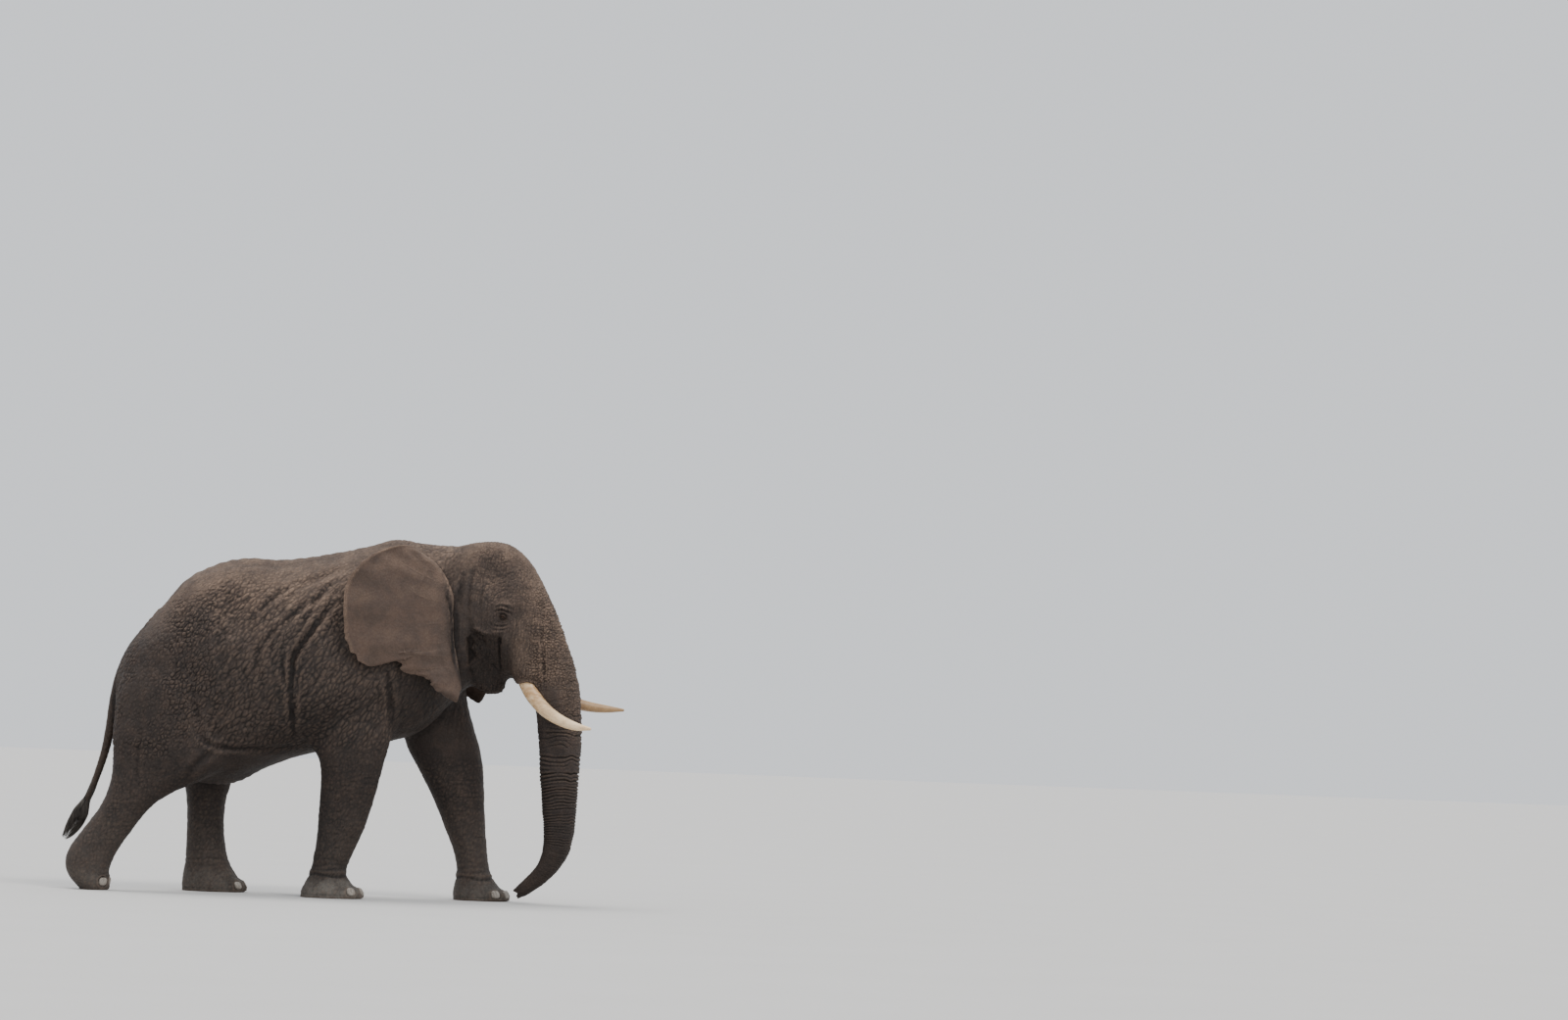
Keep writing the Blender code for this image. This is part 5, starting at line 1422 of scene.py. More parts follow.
say("hide")

# how deep each point lies among its neighbours: valleys get painted shade, ridges dust and painted highlight
n2 = vertex_normals(me)
small = ((ring.even(v2, 3, 0.6, None) - v2) * n2).sum(1)
wide = ((ring.even(v2, 26, 0.6, None) - v2) * n2).sum(1)
bake_map(me, v, Z)
say("colour fields")


def smooth_attribute(name, values):
    at = me.attributes.new(name, "FLOAT", "POINT")
    at.data.foreach_set("value", np.clip(values, 0, 1).astype(np.float32))


f, s, u = Z["h"].T
t, a, b = Z["t"]
x, y, zz = v2.T
up = n2[:, 2]
# painted shade in the valleys of the hide; ridges lighter with dust and painted highlight
smooth_attribute("valley", sstep(0.0, 0.0022, small) * 0.6 + sstep(0.0, 0.010, wide) * 0.6)
smooth_attribute("ridge", sstep(0.0, -0.0018, small) * 0.65 + sstep(0.0, -0.012, wide) * 0.30)
# upward-facing parts high on the body: dust settles there, and they also take a painted top light
back = sstep(0.05, 0.75, up) * sstep(2.1, 2.7, zz) * (1 - Z["trunk"])
brow = Z["head"] * sstep(0.52, 0.80, f - 0.15 * u) + 0.85 * Z["trunk"] * sstep(1.0, 0.5, t) * sstep(-0.2, 0.5, a)
# painted highlight along the rolled rear and upper rim of each ear
rim = Z["ear"] * sstep(0.955, 0.985, Z["e"].sv) * sstep(0.66, 0.52, Z["e"].fv)
# darker round each eye: partly the wet skin there, partly painted shade
round_eye = sum(bell((np.linalg.norm(v - EYE_AT[s_], axis=1), 0.034)) for s_ in (-1, 1))
# tan over the back, brow and crown, partly real dust and partly painted highlight; along the ear rim it is painted
# highlight only
smooth_attribute("dust_and_highlight", 0.95 * rim + 0.85 * back + 0.65 * brow + 0.35 * Z["head"] * sstep(0.35, 0.6, u))
smooth_attribute("flap", Z["ear"])
smooth_attribute("warm", Z["ear"] * (0.75 + 0.25 * (Z["e"].dn > 0)) + 0.45 * back + 0.25 * Z["head"] * sstep(0.2, -0.1, f))
pads = {"fore_right": 1.0, "fore_left": 0.42, "hind_right": 0.30, "hind_left": 0.34}
foot = sum(pads[k] * (Z["legs"][k][2] > 0.5) for k in pads)
foot = foot * sstep(0.240, 0.100, zz + 0.13 * (fbm(v / 0.11, 603, 3) - 0.5)) * Z["leg"]
smooth_attribute("pale", foot + 0.20 * Z["leg"] * sstep(1.0, 0.3, zz))
# painted shade, gathered into the shade attribute: under the belly and other downward faces, in the hollow behind the
# cheek, on the lower trunk, in the chest under the ear, in the nostrils, on the near-side legs; the tail and the whole
# body are darkened a little too
under = sstep(0.1, -0.7, up) * sstep(0.5, 0.9, zz) * (1 - Z["ear"])
drift = fbm(v / 0.085, 311, 2) - 0.5
recess = hollow(f, u, drift)
recess = Z["head"] * (0.28 * recess + 0.95 * crevices(f, u, drift) * sstep(0.02, 0.30, recess))
limbs = sum(w_ * Z["legs"][k][2] for k, w_ in (("fore_right", 0.95), ("hind_right", 0.50), ("fore_left", 0.20), ("hind_left", 0.25)))
armpit = bell((x - 0.60, 0.18), (zz - 1.76, 0.21)) * (1 - Z["ear"]) * (1 - Z["head"])
nostril = sum(bell((np.linalg.norm(v - TIP_AT - np.array((0, c_, 0)) - 0.004 * TIP_UP, axis=1), 0.016)) for c_ in (-0.0185, 0.0185))
smooth_attribute("shade", 0.9 * under + 1.15 * recess + 1.1 * Z["trunk"] * sstep(0.9, 1.4, t) + 0.9 * armpit + 0.8 * nostril + 0.75 * Z["tail"] + 1.0 * round_eye
                 + np.clip(limbs, 0, 0.95) * sstep(2.0, 1.2, zz) * (1 - foot) + 0.10 * Z["body"])


me.polygons.foreach_set("use_smooth", np.ones(len(me.polygons), bool))
say("skin has %d points, %d faces" % (len(me.vertices), len(me.polygons)))


# ------------------------------------------------------------------ materials
class Nodes:
    """Short hands for building a material."""
    def __init__(self, name):
        self.mat = bpy.data.materials.new(name)
        self.mat.use_nodes = True
        self.nt = self.mat.node_tree
        self.bsdf = self.nt.nodes["Principled BSDF"]
        self.coord = self.nt.nodes.new("ShaderNodeTexCoord").outputs["Object"]

    def add(self, kind, **given):
        node = self.nt.nodes.new(kind)
        for k, val in given.items():
            if hasattr(node, k):
                setattr(node, k, val)
        return node

    def feed(self, socket, val):
        if hasattr(val, "default_value") or hasattr(val, "is_linked"):
            self.nt.links.new(val, socket)
        else:
            socket.default_value = val

    def field(self, name):
        node = self.add("ShaderNodeAttribute", attribute_name=name)
        return node.outputs["Fac"]

    def math(self, op, a, b=0.0, clamp=False):
        node = self.add("ShaderNodeMath", operation=op, use_clamp=clamp)
        self.feed(node.inputs[0], a)
        self.feed(node.inputs[1], b)
        return node.outputs[0]

    def noise(self, scale, detail=4.0, rough=0.55, coord=None, stretch=None, distort=0.0):
        node = self.add("ShaderNodeTexNoise")
        self.feed(node.inputs["Vector"], self.scaled(coord or self.coord, stretch) if stretch else (coord or self.coord))
        node.inputs["Scale"].default_value = scale
        node.inputs["Detail"].default_value = detail
        node.inputs["Roughness"].default_value = rough
        node.inputs["Distortion"].default_value = distort
        return node.outputs["Fac"]

    def scaled(self, coord, by):
        node = self.add("ShaderNodeMapping")
        self.feed(node.inputs["Vector"], coord)
        node.inputs["Scale"].default_value = by
        return node.outputs["Vector"]

    def cells(self, scale, feature="DISTANCE_TO_EDGE", coord=None):
        node = self.add("ShaderNodeTexVoronoi", feature=feature)
        self.feed(node.inputs["Vector"], coord or self.coord)
        node.inputs["Scale"].default_value = scale
        return node.outputs["Distance"]

    def warped(self, amount, scale):
        node = self.add("ShaderNodeTexNoise")
        self.feed(node.inputs["Vector"], self.coord)
        node.inputs["Scale"].default_value = scale
        node.inputs["Detail"].default_value = 2.0
        sub = self.add("ShaderNodeVectorMath", operation="MULTIPLY_ADD")
        self.feed(sub.inputs[0], node.outputs["Color"])
        sub.inputs[1].default_value = (amount,) * 3
        self.feed(sub.inputs[2], self.coord)
        return sub.outputs[0]

    def curve(self, val, lo, hi, to_lo=0.0, to_hi=1.0):
        node = self.add("ShaderNodeMapRange", interpolation_type="SMOOTHSTEP")
        self.feed(node.inputs["Value"], val)
        node.inputs["From Min"].default_value = lo
        node.inputs["From Max"].default_value = hi
        node.inputs["To Min"].default_value = to_lo
        node.inputs["To Max"].default_value = to_hi
        return node.outputs["Result"]

    def mix(self, fac, a, b, blend="MIX"):
        node = self.add("ShaderNodeMix", data_type="RGBA", blend_type=blend)
        self.feed(node.inputs["Factor"], fac)
        self.feed(node.inputs["A"], a if not isinstance(a, tuple) else (*a, 1.0))
        self.feed(node.inputs["B"], b if not isinstance(b, tuple) else (*b, 1.0))
        return node.outputs["Result"]

    def bump(self, height, distance, strength=1.0, normal=None):
        node = self.add("ShaderNodeBump")
        node.inputs["Strength"].default_value = strength
        node.inputs["Distance"].default_value = distance
        self.feed(node.inputs["Height"], height)
        if normal is not None:
            self.feed(node.inputs["Normal"], normal)
        return node.outputs["Normal"]

    def surface(self, colour, rough, normal=None, **fixed):
        self.feed(self.bsdf.inputs["Base Color"], colour if not isinstance(colour, tuple) else (*colour, 1.0))
        self.feed(self.bsdf.inputs["Roughness"], rough)
        if normal is not None:
            self.feed(self.bsdf.inputs["Normal"], normal)
        for k, val in fixed.items():
            self.bsdf.inputs[k.replace("_", " ")].default_value = val
        return self.mat


def skin_material():
    n = Nodes("elephant_hide")
    valley, ridge, dust_and_highlight = n.field("valley"), n.field("ridge"), n.field("dust_and_highlight")
    warm, pale, shade = n.field("warm"), n.field("pale"), n.field("shade")
    body = n.math("SUBTRACT", 1.0, n.math("MULTIPLY", n.field("flap"), 0.85))
    broad, blotch, grain = n.noise(1.7, 5.0, 0.6), n.noise(9.0, 5.0, 0.6), n.noise(55.0, 5.0, 0.65)
    warp = n.warped(0.010, 38.0)
    plate = n.cells(62.0, coord=warp)            # hide plates of about 16 mm
    pore = n.cells(150.0, coord=warp)
    col = n.mix(n.curve(broad, 0.35, 0.65), HIDE_DARK, HIDE_MID)
    col = n.mix(n.curve(blotch, 0.42, 0.70, 0.0, 0.55), col, HIDE_WARM)
    fans = n.noise(5.5, 6.0, 0.70, stretch=(0.8, 1.0, 1.0), distort=0.4)
    ear_col = n.mix(n.curve(fans, 0.36, 0.66), EAR_DARK, EAR_BROWN)
    col = n.mix(n.math("MULTIPLY", warm, n.curve(blotch, 0.2, 0.75, 0.75, 1.0)), col, ear_col)
    # tan over the back, brow, crown and ear rim: dust mixed with painted highlight, strongest on the ridges of the hide
    dust_highlight_fac = n.math("MULTIPLY", dust_and_highlight, n.curve(n.noise(6.0, 6.0, 0.7), 0.36, 0.62, 0.25, 1.0), clamp=True)
    col = n.mix(n.math("MULTIPLY", dust_highlight_fac, n.math("ADD", n.math("MULTIPLY", ridge, 0.75), 0.38), clamp=True), col, DUST_HIGHLIGHT_TAN)
    col = n.mix(n.math("MULTIPLY", pale, n.curve(n.noise(14.0, 6.0, 0.7), 0.30, 0.60, 0.35, 1.0)), col, DUST_GREY)
    # ridges of the hide lighter: partly dust caught on them, partly painted highlight
    col = n.mix(n.math("MULTIPLY", ridge, 0.50), col, n.mix(0.5, col, DUST_HIGHLIGHT_TAN))
    # painted shade: darker in the valleys of the hide and wherever the shade attribute lies; the lines between hide
    # plates darken too
    dark = n.math("ADD", n.math("MULTIPLY", valley, 0.95), n.math("MULTIPLY", n.curve(plate, 0.0, 0.16, 0.16, 0.0), body), clamp=True)
    dark = n.math("ADD", dark, n.math("MULTIPLY", shade, 0.50), clamp=True)
    col = n.mix(dark, col, n.mix(1.0, col, (0.30, 0.28, 0.27), "MULTIPLY"))
    col = n.mix(n.curve(grain, 0.3, 0.7, 0.0, 0.35), col, n.mix(1.0, col, (0.62, 0.60, 0.58), "MULTIPLY"))
    rough = n.math("ADD", n.curve(grain, 0.3, 0.7, 0.62, 0.80), n.math("MULTIPLY", dust_and_highlight, 0.12), clamp=True)
    nrm = n.bump(n.math("MULTIPLY", n.curve(plate, 0.0, 0.35), body), 0.0016, 0.40)
    nrm = n.bump(n.curve(pore, 0.0, 0.30), 0.0010, 0.45, nrm)
    nrm = n.bump(grain, 0.0012, 0.35, nrm)
    return n.surface(col, rough, nrm, Specular_IOR_Level=0.26)


HIDE_DARK = (0.0255, 0.0195, 0.0175)
HIDE_MID = (0.044, 0.0325, 0.0275)
HIDE_WARM = (0.065, 0.044, 0.034)
EAR_BROWN = (0.100, 0.065, 0.048)
EAR_DARK = (0.070, 0.048, 0.038)
# tan of dust, also used for the painted highlight on ridges and upper parts
DUST_HIGHLIGHT_TAN = (0.248, 0.170, 0.122)
DUST_GREY = (0.114, 0.104, 0.092)


def ivory_material(name, light, dark, stain, amount):
    n = Nodes(name)
    at = n.field("along")
    long = n.noise(5.0, 6.0, 0.65)
    streak = n.noise(26.0, 5.0, 0.6, stretch=(0.35, 1.0, 1.0))
    spots = n.noise(70.0, 4.0, 0.6)
    col = n.mix(n.curve(long, 0.3, 0.7), light, dark)
    base = n.curve(at, 0.34, 0.72, 1.0, 0.0)
    col = n.mix(n.math("MULTIPLY", base, n.curve(streak, 0.30, 0.62, 0.35, 1.0)), col, stain)
    col = n.mix(n.math("MULTIPLY", n.curve(streak, 0.50, 0.72), amount), col, (0.22, 0.13, 0.07))
    col = n.mix(n.curve(spots, 0.60, 0.74, 0.0, 0.5 * amount + 0.15), col, (0.14, 0.09, 0.05))
    tip = n.curve(at, 0.95, 1.0, 0.0, 0.55)
    col = n.mix(tip, col, (0.16, 0.11, 0.07))
    nrm = n.bump(n.math("ADD", streak, n.math("MULTIPLY", spots, 0.4)), 0.004, 0.35)
    return n.surface(col, n.curve(streak, 0.3, 0.7, 0.30, 0.52), nrm, Specular_IOR_Level=0.5)


def nail_material():
    n = Nodes("toe_horn")
    streak = n.noise(40.0, 5.0, 0.6, stretch=(1.0, 1.0, 0.25))
    col = n.mix(n.curve(streak, 0.35, 0.65), (0.34, 0.31, 0.27), (0.20, 0.175, 0.15))
    col = n.mix(n.curve(n.noise(24.0, 5.0, 0.7), 0.45, 0.68, 0.0, 0.7), col, (0.13, 0.10, 0.08))
    nrm = n.bump(streak, 0.003, 0.5)
    return n.surface(col, n.curve(streak, 0.3, 0.7, 0.45, 0.70), nrm, Specular_IOR_Level=0.45)


def hair_material(name, dark, light):
    n = Nodes(name)
    streak = n.noise(60.0, 3.0, 0.5, stretch=(1.0, 1.0, 0.2))
    col = n.mix(n.curve(streak, 0.3, 0.7), dark, light)
    nrm = n.bump(n.noise(400.0, 2.0), 0.0004, 0.4)
    return n.surface(col, n.curve(streak, 0.3, 0.7, 0.48, 0.62), nrm, Specular_IOR_Level=0.3)


def eye_material():
    n = Nodes("wet_eye")
    at, ang = n.field("off_axis"), n.field("round_axis")
    ray = n.noise(9.0, 4.0, 0.6)
    comb = n.add("ShaderNodeCombineXYZ")
    n.feed(comb.inputs[0], n.math("MULTIPLY", ang, 60.0))
    n.feed(comb.inputs[1], n.math("MULTIPLY", at, 4.0))
    spoke = n.noise(1.0, 3.0, 0.6, coord=comb.outputs[0])
    iris = n.mix(n.curve(spoke, 0.35, 0.65), (0.095, 0.042, 0.014), (0.038, 0.017, 0.008))
    iris = n.mix(n.curve(at, 0.42, 0.56), iris, (0.018, 0.009, 0.006))
    col = n.mix(n.curve(at, 0.17, 0.20), (0.0015, 0.0012, 0.001), iris)
    white = n.mix(n.curve(ray, 0.4, 0.7), (0.080, 0.050, 0.035), (0.16, 0.115, 0.090))
    col = n.mix(n.curve(at, 0.56, 0.64), col, white)
    mat = n.surface(col, 0.14, None, Specular_IOR_Level=0.15, Coat_Weight=0.10, Coat_Roughness=0.03)
    return mat


# ------------------------------------------------------------------ pieces of their own
def grid_object(name, rows, closed_ends=True, fields=None, uv=None):
    """A tube through rows of points, with end caps that close on a point."""
    rows = [np.asarray(r) for r in rows]
    k, n = len(rows), len(rows[0])
    pts = np.concatenate(rows + [rows[0].mean(0)[None], rows[-1].mean(0)[None]])
    faces = []
    for i in range(k - 1):
        for j in range(n):
            q = (j + 1) % n
            faces.append((i * n + j, (i + 1) * n + j, (i + 1) * n + q, i * n + q))
    for j in range(n):
        q = (j + 1) % n
        faces.append((k * n, j, q))
        faces.append((k * n + 1, (k - 1) * n + q, (k - 1) * n + j))
    me = bpy.data.meshes.new(name)
    me.from_pydata(pts.tolist(), [], faces)
    bm = bmesh.new()
    bm.from_mesh(me)
    bmesh.ops.recalc_face_normals(bm, faces=bm.faces)
    bm.to_mesh(me)
    bm.free()
    me.polygons.foreach_set("use_smooth", np.ones(len(me.polygons), bool))
    ob = link(bpy.data.objects.new(name, me))
    for key, values in (fields or {}).items():
        at = me.attributes.new(key, "FLOAT", "POINT")
        at.data.foreach_set("value", np.asarray(values, np.float32))
    return ob


def tube_map(ob, k, n, seam_uv=(0.02, 0.02, 0.98, 0.98)):
    """An unwrap of a tube made by grid_object."""
    me = ob.data
    lv = np.empty(len(me.loops), np.int32)
    me.loops.foreach_get("vertex_index", lv)
    total = np.empty(len(me.polygons), np.int32)
    me.polygons.foreach_get("loop_total", total)
    face = np.repeat(np.arange(len(total)), total)
    row = np.where(lv < k * n, lv // n, np.where(lv == k * n, 0, k - 1)).astype(float)
    col = np.where(lv < k * n, lv % n, -1).astype(float)
    start = np.concatenate([[0], np.cumsum(total)[:-1]])
    colmax = np.maximum.reduceat(col, start)[face]
    col = np.where((colmax > n * 0.6) & (col >= 0) & (col < n * 0.4), col + n, col)
    mean = np.maximum.reduceat(col, start)[face]
    col = np.where(col < 0, mean - 0.5, col)
    x0, y0, x1, y1 = seam_uv
    uv = np.stack([x0 + (x1 - x0) * row / (k - 1), y0 + (y1 - y0) * col / (n + 0.001)], 1)
    me.uv_layers.new(name="OFBake").data.foreach_set("uv", uv.astype(np.float32).ravel())


TUSKS = {}


def big_tusk(name, lines, sign, seed):
    t = fair(lines, 96, 3)
    pts = np.array([head_point(a, sign * b, c) for a, b, c, r in t])
    r = t[:, 3].copy()
    tip = np.linalg.norm(pts - pts[-1], axis=1)
    r_end = r[-1]
    TUSKS[name] = (pts, r)
    # a blunt rounded end
    d_end = (pts[-1] - pts[-2]) / np.linalg.norm(pts[-1] - pts[-2])
    extra = []
    for a in np.linspace(0.15, 1.45, 9):
        extra.append((pts[-1] + d_end * r_end * 0.72 * math.sin(a), r_end * math.cos(a)))
    pts = np.concatenate([pts, [e[0] for e in extra]])
    r = np.concatenate([r, [e[1] for e in extra]])
    n = 40
    rings = np.array([[list(p) for p in ring] for ring in path_rings(pts.tolist(), r.tolist(), n, side=head_axis((0, 1, 0)))])
    mid = rings.mean(1)
    k = len(rings)
    ang = np.linspace(0, 2 * np.pi, n, endpoint=False)
    at = np.linspace(0, 1, k)
    A, U = np.meshgrid(ang, at)
    q = np.stack([np.cos(A) * 3.0, np.sin(A) * 3.0, U * 4.0], -1).reshape(-1, 3)
    amp = np.minimum(r, 0.03)[:, None]
    wav = (fbm(q, seed, 3) - 0.5).reshape(k, n) * 0.055
    q2 = np.stack([np.cos(A) * 7.0, np.sin(A) * 7.0, U * 3.0], -1).reshape(-1, 3)
    wav += (value_noise(q2, seed + 3) - 0.5).reshape(k, n) * 0.035
    # worn flat on the upper outer side of the tip
    worn = sstep(0.86, 0.97, at)[:, None] * sstep(0.2, 0.9, np.cos(ang - 1.1))[None]
    wav -= 0.16 * worn
    gouge = np.exp(-((A - 2.2 - 0.3 * np.sin(U * 9)) / 0.10) ** 2) * sstep(0.55, 0.7, U) * sstep(0.95, 0.8, U)
    wav -= 0.03 * gouge
    rings = rings + (rings - mid[:, None]) * wav[..., None]
    reach = np.append(np.repeat(at, n), [0.0, 1.0])
    ob = grid_object(name, list(rings), fields={"along": reach})
    tube_map(ob, k, n)
    return ob


def nail_piece(name, at, turn, seed):
    """One toe nail: a domed plate with a worn lower edge and a soft upper one."""
    rows, cols = 22, 26
    m = np.array(turn.to_3x3())
    g, hgt = np.meshgrid(np.linspace(0, 2 * np.pi, cols, endpoint=False), np.linspace(0, 1, rows), indexing="xy")
    rad = np.sin(hgt * np.pi / 2)
    x = np.cos(hgt * np.pi / 2)
    yy = np.sign(np.cos(g)) * np.abs(np.cos(g)) ** 0.70 * rad
    uu = np.sign(np.sin(g)) * np.abs(np.sin(g)) ** 0.70 * rad
    uu = np.where(uu < 0, uu * 0.92, uu)
    dome = np.abs(x) ** 0.42
    line = 0.045 * np.sin(yy * 11 + seed) * rad + 0.03 * np.sin(uu * 9 + 2 * seed)
    face = np.stack([dome * (1 + line), yy, uu * (1 - 0.06 * (uu < 0))], -1)
    back = np.stack([-0.55 * dome, yy * 0.98, uu * 0.98], -1)[::-1]
    full = np.concatenate([face, back[1:]])
    size = np.array(NAIL_SIZE) * np.array((0.95, 1.08, 1.02))
    p = (full.reshape(-1, 3) * size) @ m.T + np.array(at)
    p[:, 2] = np.maximum(p[:, 2], 0.004)
    k = len(full)
    ob = grid_object(name, list(p.reshape(k, cols, 3)))
    tube_map(ob, k, cols)
    return ob


def all_nails():
    out = []
    for leg_name, k, at, turn in nail_frames():
        out.append((nail_piece("toe_nail_%s_%d" % (leg_name, k), at, turn, 2.0 * k + 3.0 * len(out)),
                    "nail_%s_%d" % (leg_name, k)))
    return out


def eye_ball(name, side):
    a_ax, b_ax, o_ax = eye_frame(side)
    look = o_ax + 0.10 * a_ax - 0.02 * b_ax
    look /= np.linalg.norm(look)
    sa = a_ax - look * (a_ax @ look)
    sa /= np.linalg.norm(sa)
    sb = np.cross(look, sa)
    n, k = 48, 44
    th = np.concatenate([np.linspace(0.02, 0.8, 26), np.linspace(0.86, math.pi - 0.05, k - 26)])
    r = np.full(k, EYE_RADIUS - 0.0004)
    r = r + 0.0016 * sstep(0.62, 0.25, th)
    ph = np.linspace(0, 2 * np.pi, n, endpoint=False)
    rows, off, rnd = [], [], []
    for t, rr in zip(th, r):
        ring = (look * math.cos(t))[None] * rr + rr * math.sin(t) * (np.cos(ph)[:, None] * sa + np.sin(ph)[:, None] * sb)
        rows.append(ring + EYE_AT[side])
        off += [t / 1.1] * n
        rnd += list(np.abs(ph / np.pi - 1))
    ob = grid_object(name, rows, fields={"off_axis": off + [0.0, 3.0], "round_axis": rnd + [0, 0]})
    tube_map(ob, k, n)
    return ob


# ------------------------------------------------------------------ hair
def strands(name, paths, radii, uvs, sides=3):
    """Tapered solid strands: paths (count, steps, 3), radii (count, steps)."""
    count, steps = paths.shape[:2]
    tang = np.gradient(paths, axis=1)
    tang /= np.linalg.norm(tang, axis=2)[..., None] + 1e-12
    ref = np.where(np.abs(tang[..., 2:3]) > 0.9, np.array((1.0, 0, 0)), np.array((0, 0, 1.0)))
    su = np.cross(tang, ref)
    su /= np.linalg.norm(su, axis=2)[..., None] + 1e-12
    sv = np.cross(tang, su)
    ang = np.linspace(0, 2 * np.pi, sides, endpoint=False)
    body = paths[:, :-1, None] + radii[:, :-1, None, None] * (np.cos(ang)[None, None, :, None] * su[:, :-1, None]
                                                              + np.sin(ang)[None, None, :, None] * sv[:, :-1, None])
    per = (steps - 1) * sides + 1
    pts = np.concatenate([body.reshape(count, -1, 3), paths[:, -1:]], 1).reshape(-1, 3)
    faces = []
    for i in range(steps - 2):
        for j in range(sides):
            q = (j + 1) % sides
            faces.append((i * sides + j, (i + 1) * sides + j, (i + 1) * sides + q, i * sides + q))
    quads = np.array(faces)
    tips = np.array([((steps - 2) * sides + j, (steps - 1) * sides, (steps - 2) * sides + (j + 1) % sides) for j in range(sides)])
    root = np.array([[j for j in range(sides)][::1]])
    base = (np.arange(count) * per)[:, None, None]
    quads = (quads[None] + base).reshape(-1, 4)
    tris = (np.concatenate([tips, root[:, :3]] if sides == 3 else [tips])[None] + base).reshape(-1, 3)
    capq = (root[None] + base).reshape(-1, 4) if sides == 4 else np.zeros((0, 4), int)
    quads = np.concatenate([quads, capq])
    me = bpy.data.meshes.new(name)
    nq, nt = len(quads), len(tris)
    me.vertices.add(len(pts))
    me.vertices.foreach_set("co", pts.astype(np.float32).ravel())
    me.loops.add(nq * 4 + nt * 3)
    me.loops.foreach_set("vertex_index", np.concatenate([quads.ravel(), tris.ravel()]).astype(np.int32))
    me.polygons.add(nq + nt)
    me.polygons.foreach_set("loop_start", np.concatenate([np.arange(nq) * 4, nq * 4 + np.arange(nt) * 3]).astype(np.int32))
    me.update(calc_edges=True)
    me.validate()
    bm = bmesh.new()
    bm.from_mesh(me)
    bmesh.ops.recalc_face_normals(bm, faces=bm.faces)
    bm.to_mesh(me)
    bm.free()
    me.polygons.foreach_set("use_smooth", np.ones(len(me.polygons), bool))
    lv = np.empty(len(me.loops), np.int32)
    me.loops.foreach_get("vertex_index", lv)
    who = lv // per
    step = np.minimum((lv % per) // sides, steps - 1)
    where = (lv % per) % sides
    patch = 0.003
    uv = np.asarray(uvs)[who] + patch * (np.stack([step / (steps - 1), where / sides], 1) - 0.5)
    me.uv_layers.new(name="OFBake").data.foreach_set("uv", np.clip(uv, 0.001, 0.999).astype(np.float32).ravel())
    return link(bpy.data.objects.new(name, me))


def tail_hair(count, seed):
    """Stiff strands that hang from both edges of the tail's end."""
    rng = np.random.default_rng(seed)
    above = [(-2.268, 1.010, 0.037, 0.034), (-2.302, 0.900, 0.037, 0.033)]
    tl = fair(above + TUFT_LINES, 80, 2)
    end_of_tail = 0.36
    cx, cz, wa, wb = tl.T
    steps = 15
    paths = np.zeros((count, steps, 3))
    radii = np.zeros((count, steps))
    uv = np.zeros((count, 2))
    tang = np.stack([np.gradient(cx), np.gradient(cz)], 1)
    tang /= np.linalg.norm(tang, axis=1)[:, None]
    across = np.stack([-tang[:, 1], tang[:, 0]], 1)
    for i in range(count):
        ang = rng.uniform(0, 2 * np.pi)
        if rng.random() < 0.6:
            ang = rng.choice([0.0, np.pi]) + rng.normal(0, 0.45)
        k0 = rng.uniform(0.02, 0.42)
        lay = rng.uniform(0.25, 0.98) ** 0.7 if k0 < end_of_tail else rng.uniform(0.0, 1.0) ** 0.6
        k1 = min(0.99, max(k0 + rng.uniform(0.30, 0.75), rng.uniform(0.55, 1.0)))
        k = np.linspace(k0, k1, steps)
        g = np.linspace(0, 1, steps)
        idx = k * (len(tl) - 1)
        at = lambda col: np.interp(idx, np.arange(len(tl)), col)
        first = 0.86 if k0 < end_of_tail else lay
        if k0 < 0.20:
            lay = max(lay, 0.93)
        spread = first + (lay - first) * sstep(0, 0.40, g)
        wob_a = rng.normal(0, 0.004) * np.sin(g * rng.uniform(3, 7) + rng.uniform(0, 6))
        wob_b = rng.normal(0, 0.004) * np.sin(g * rng.uniform(3, 7) + rng.uniform(0, 6))
        oa = math.cos(ang) * spread * at(wa) * 0.93 + wob_a * g
        ob_ = math.sin(ang) * spread * at(wb) * 0.92 + wob_b * g
        paths[i, :, 0] = at(cx) + oa * at(across[:, 0])
        paths[i, :, 2] = at(cz) + oa * at(across[:, 1])
        paths[i, :, 1] = ob_
        radii[i] = rng.uniform(0.0010, 0.0017) * (1 - 0.80 * g ** 2)
        uv[i] = (0.62 + 0.10 * ((ang / (2 * np.pi)) % 1.0), 0.82 + 0.17 * min(1.0, 0.90 + 0.10 * k0))
    return strands("tail_hair", paths, radii, uv, sides=4)


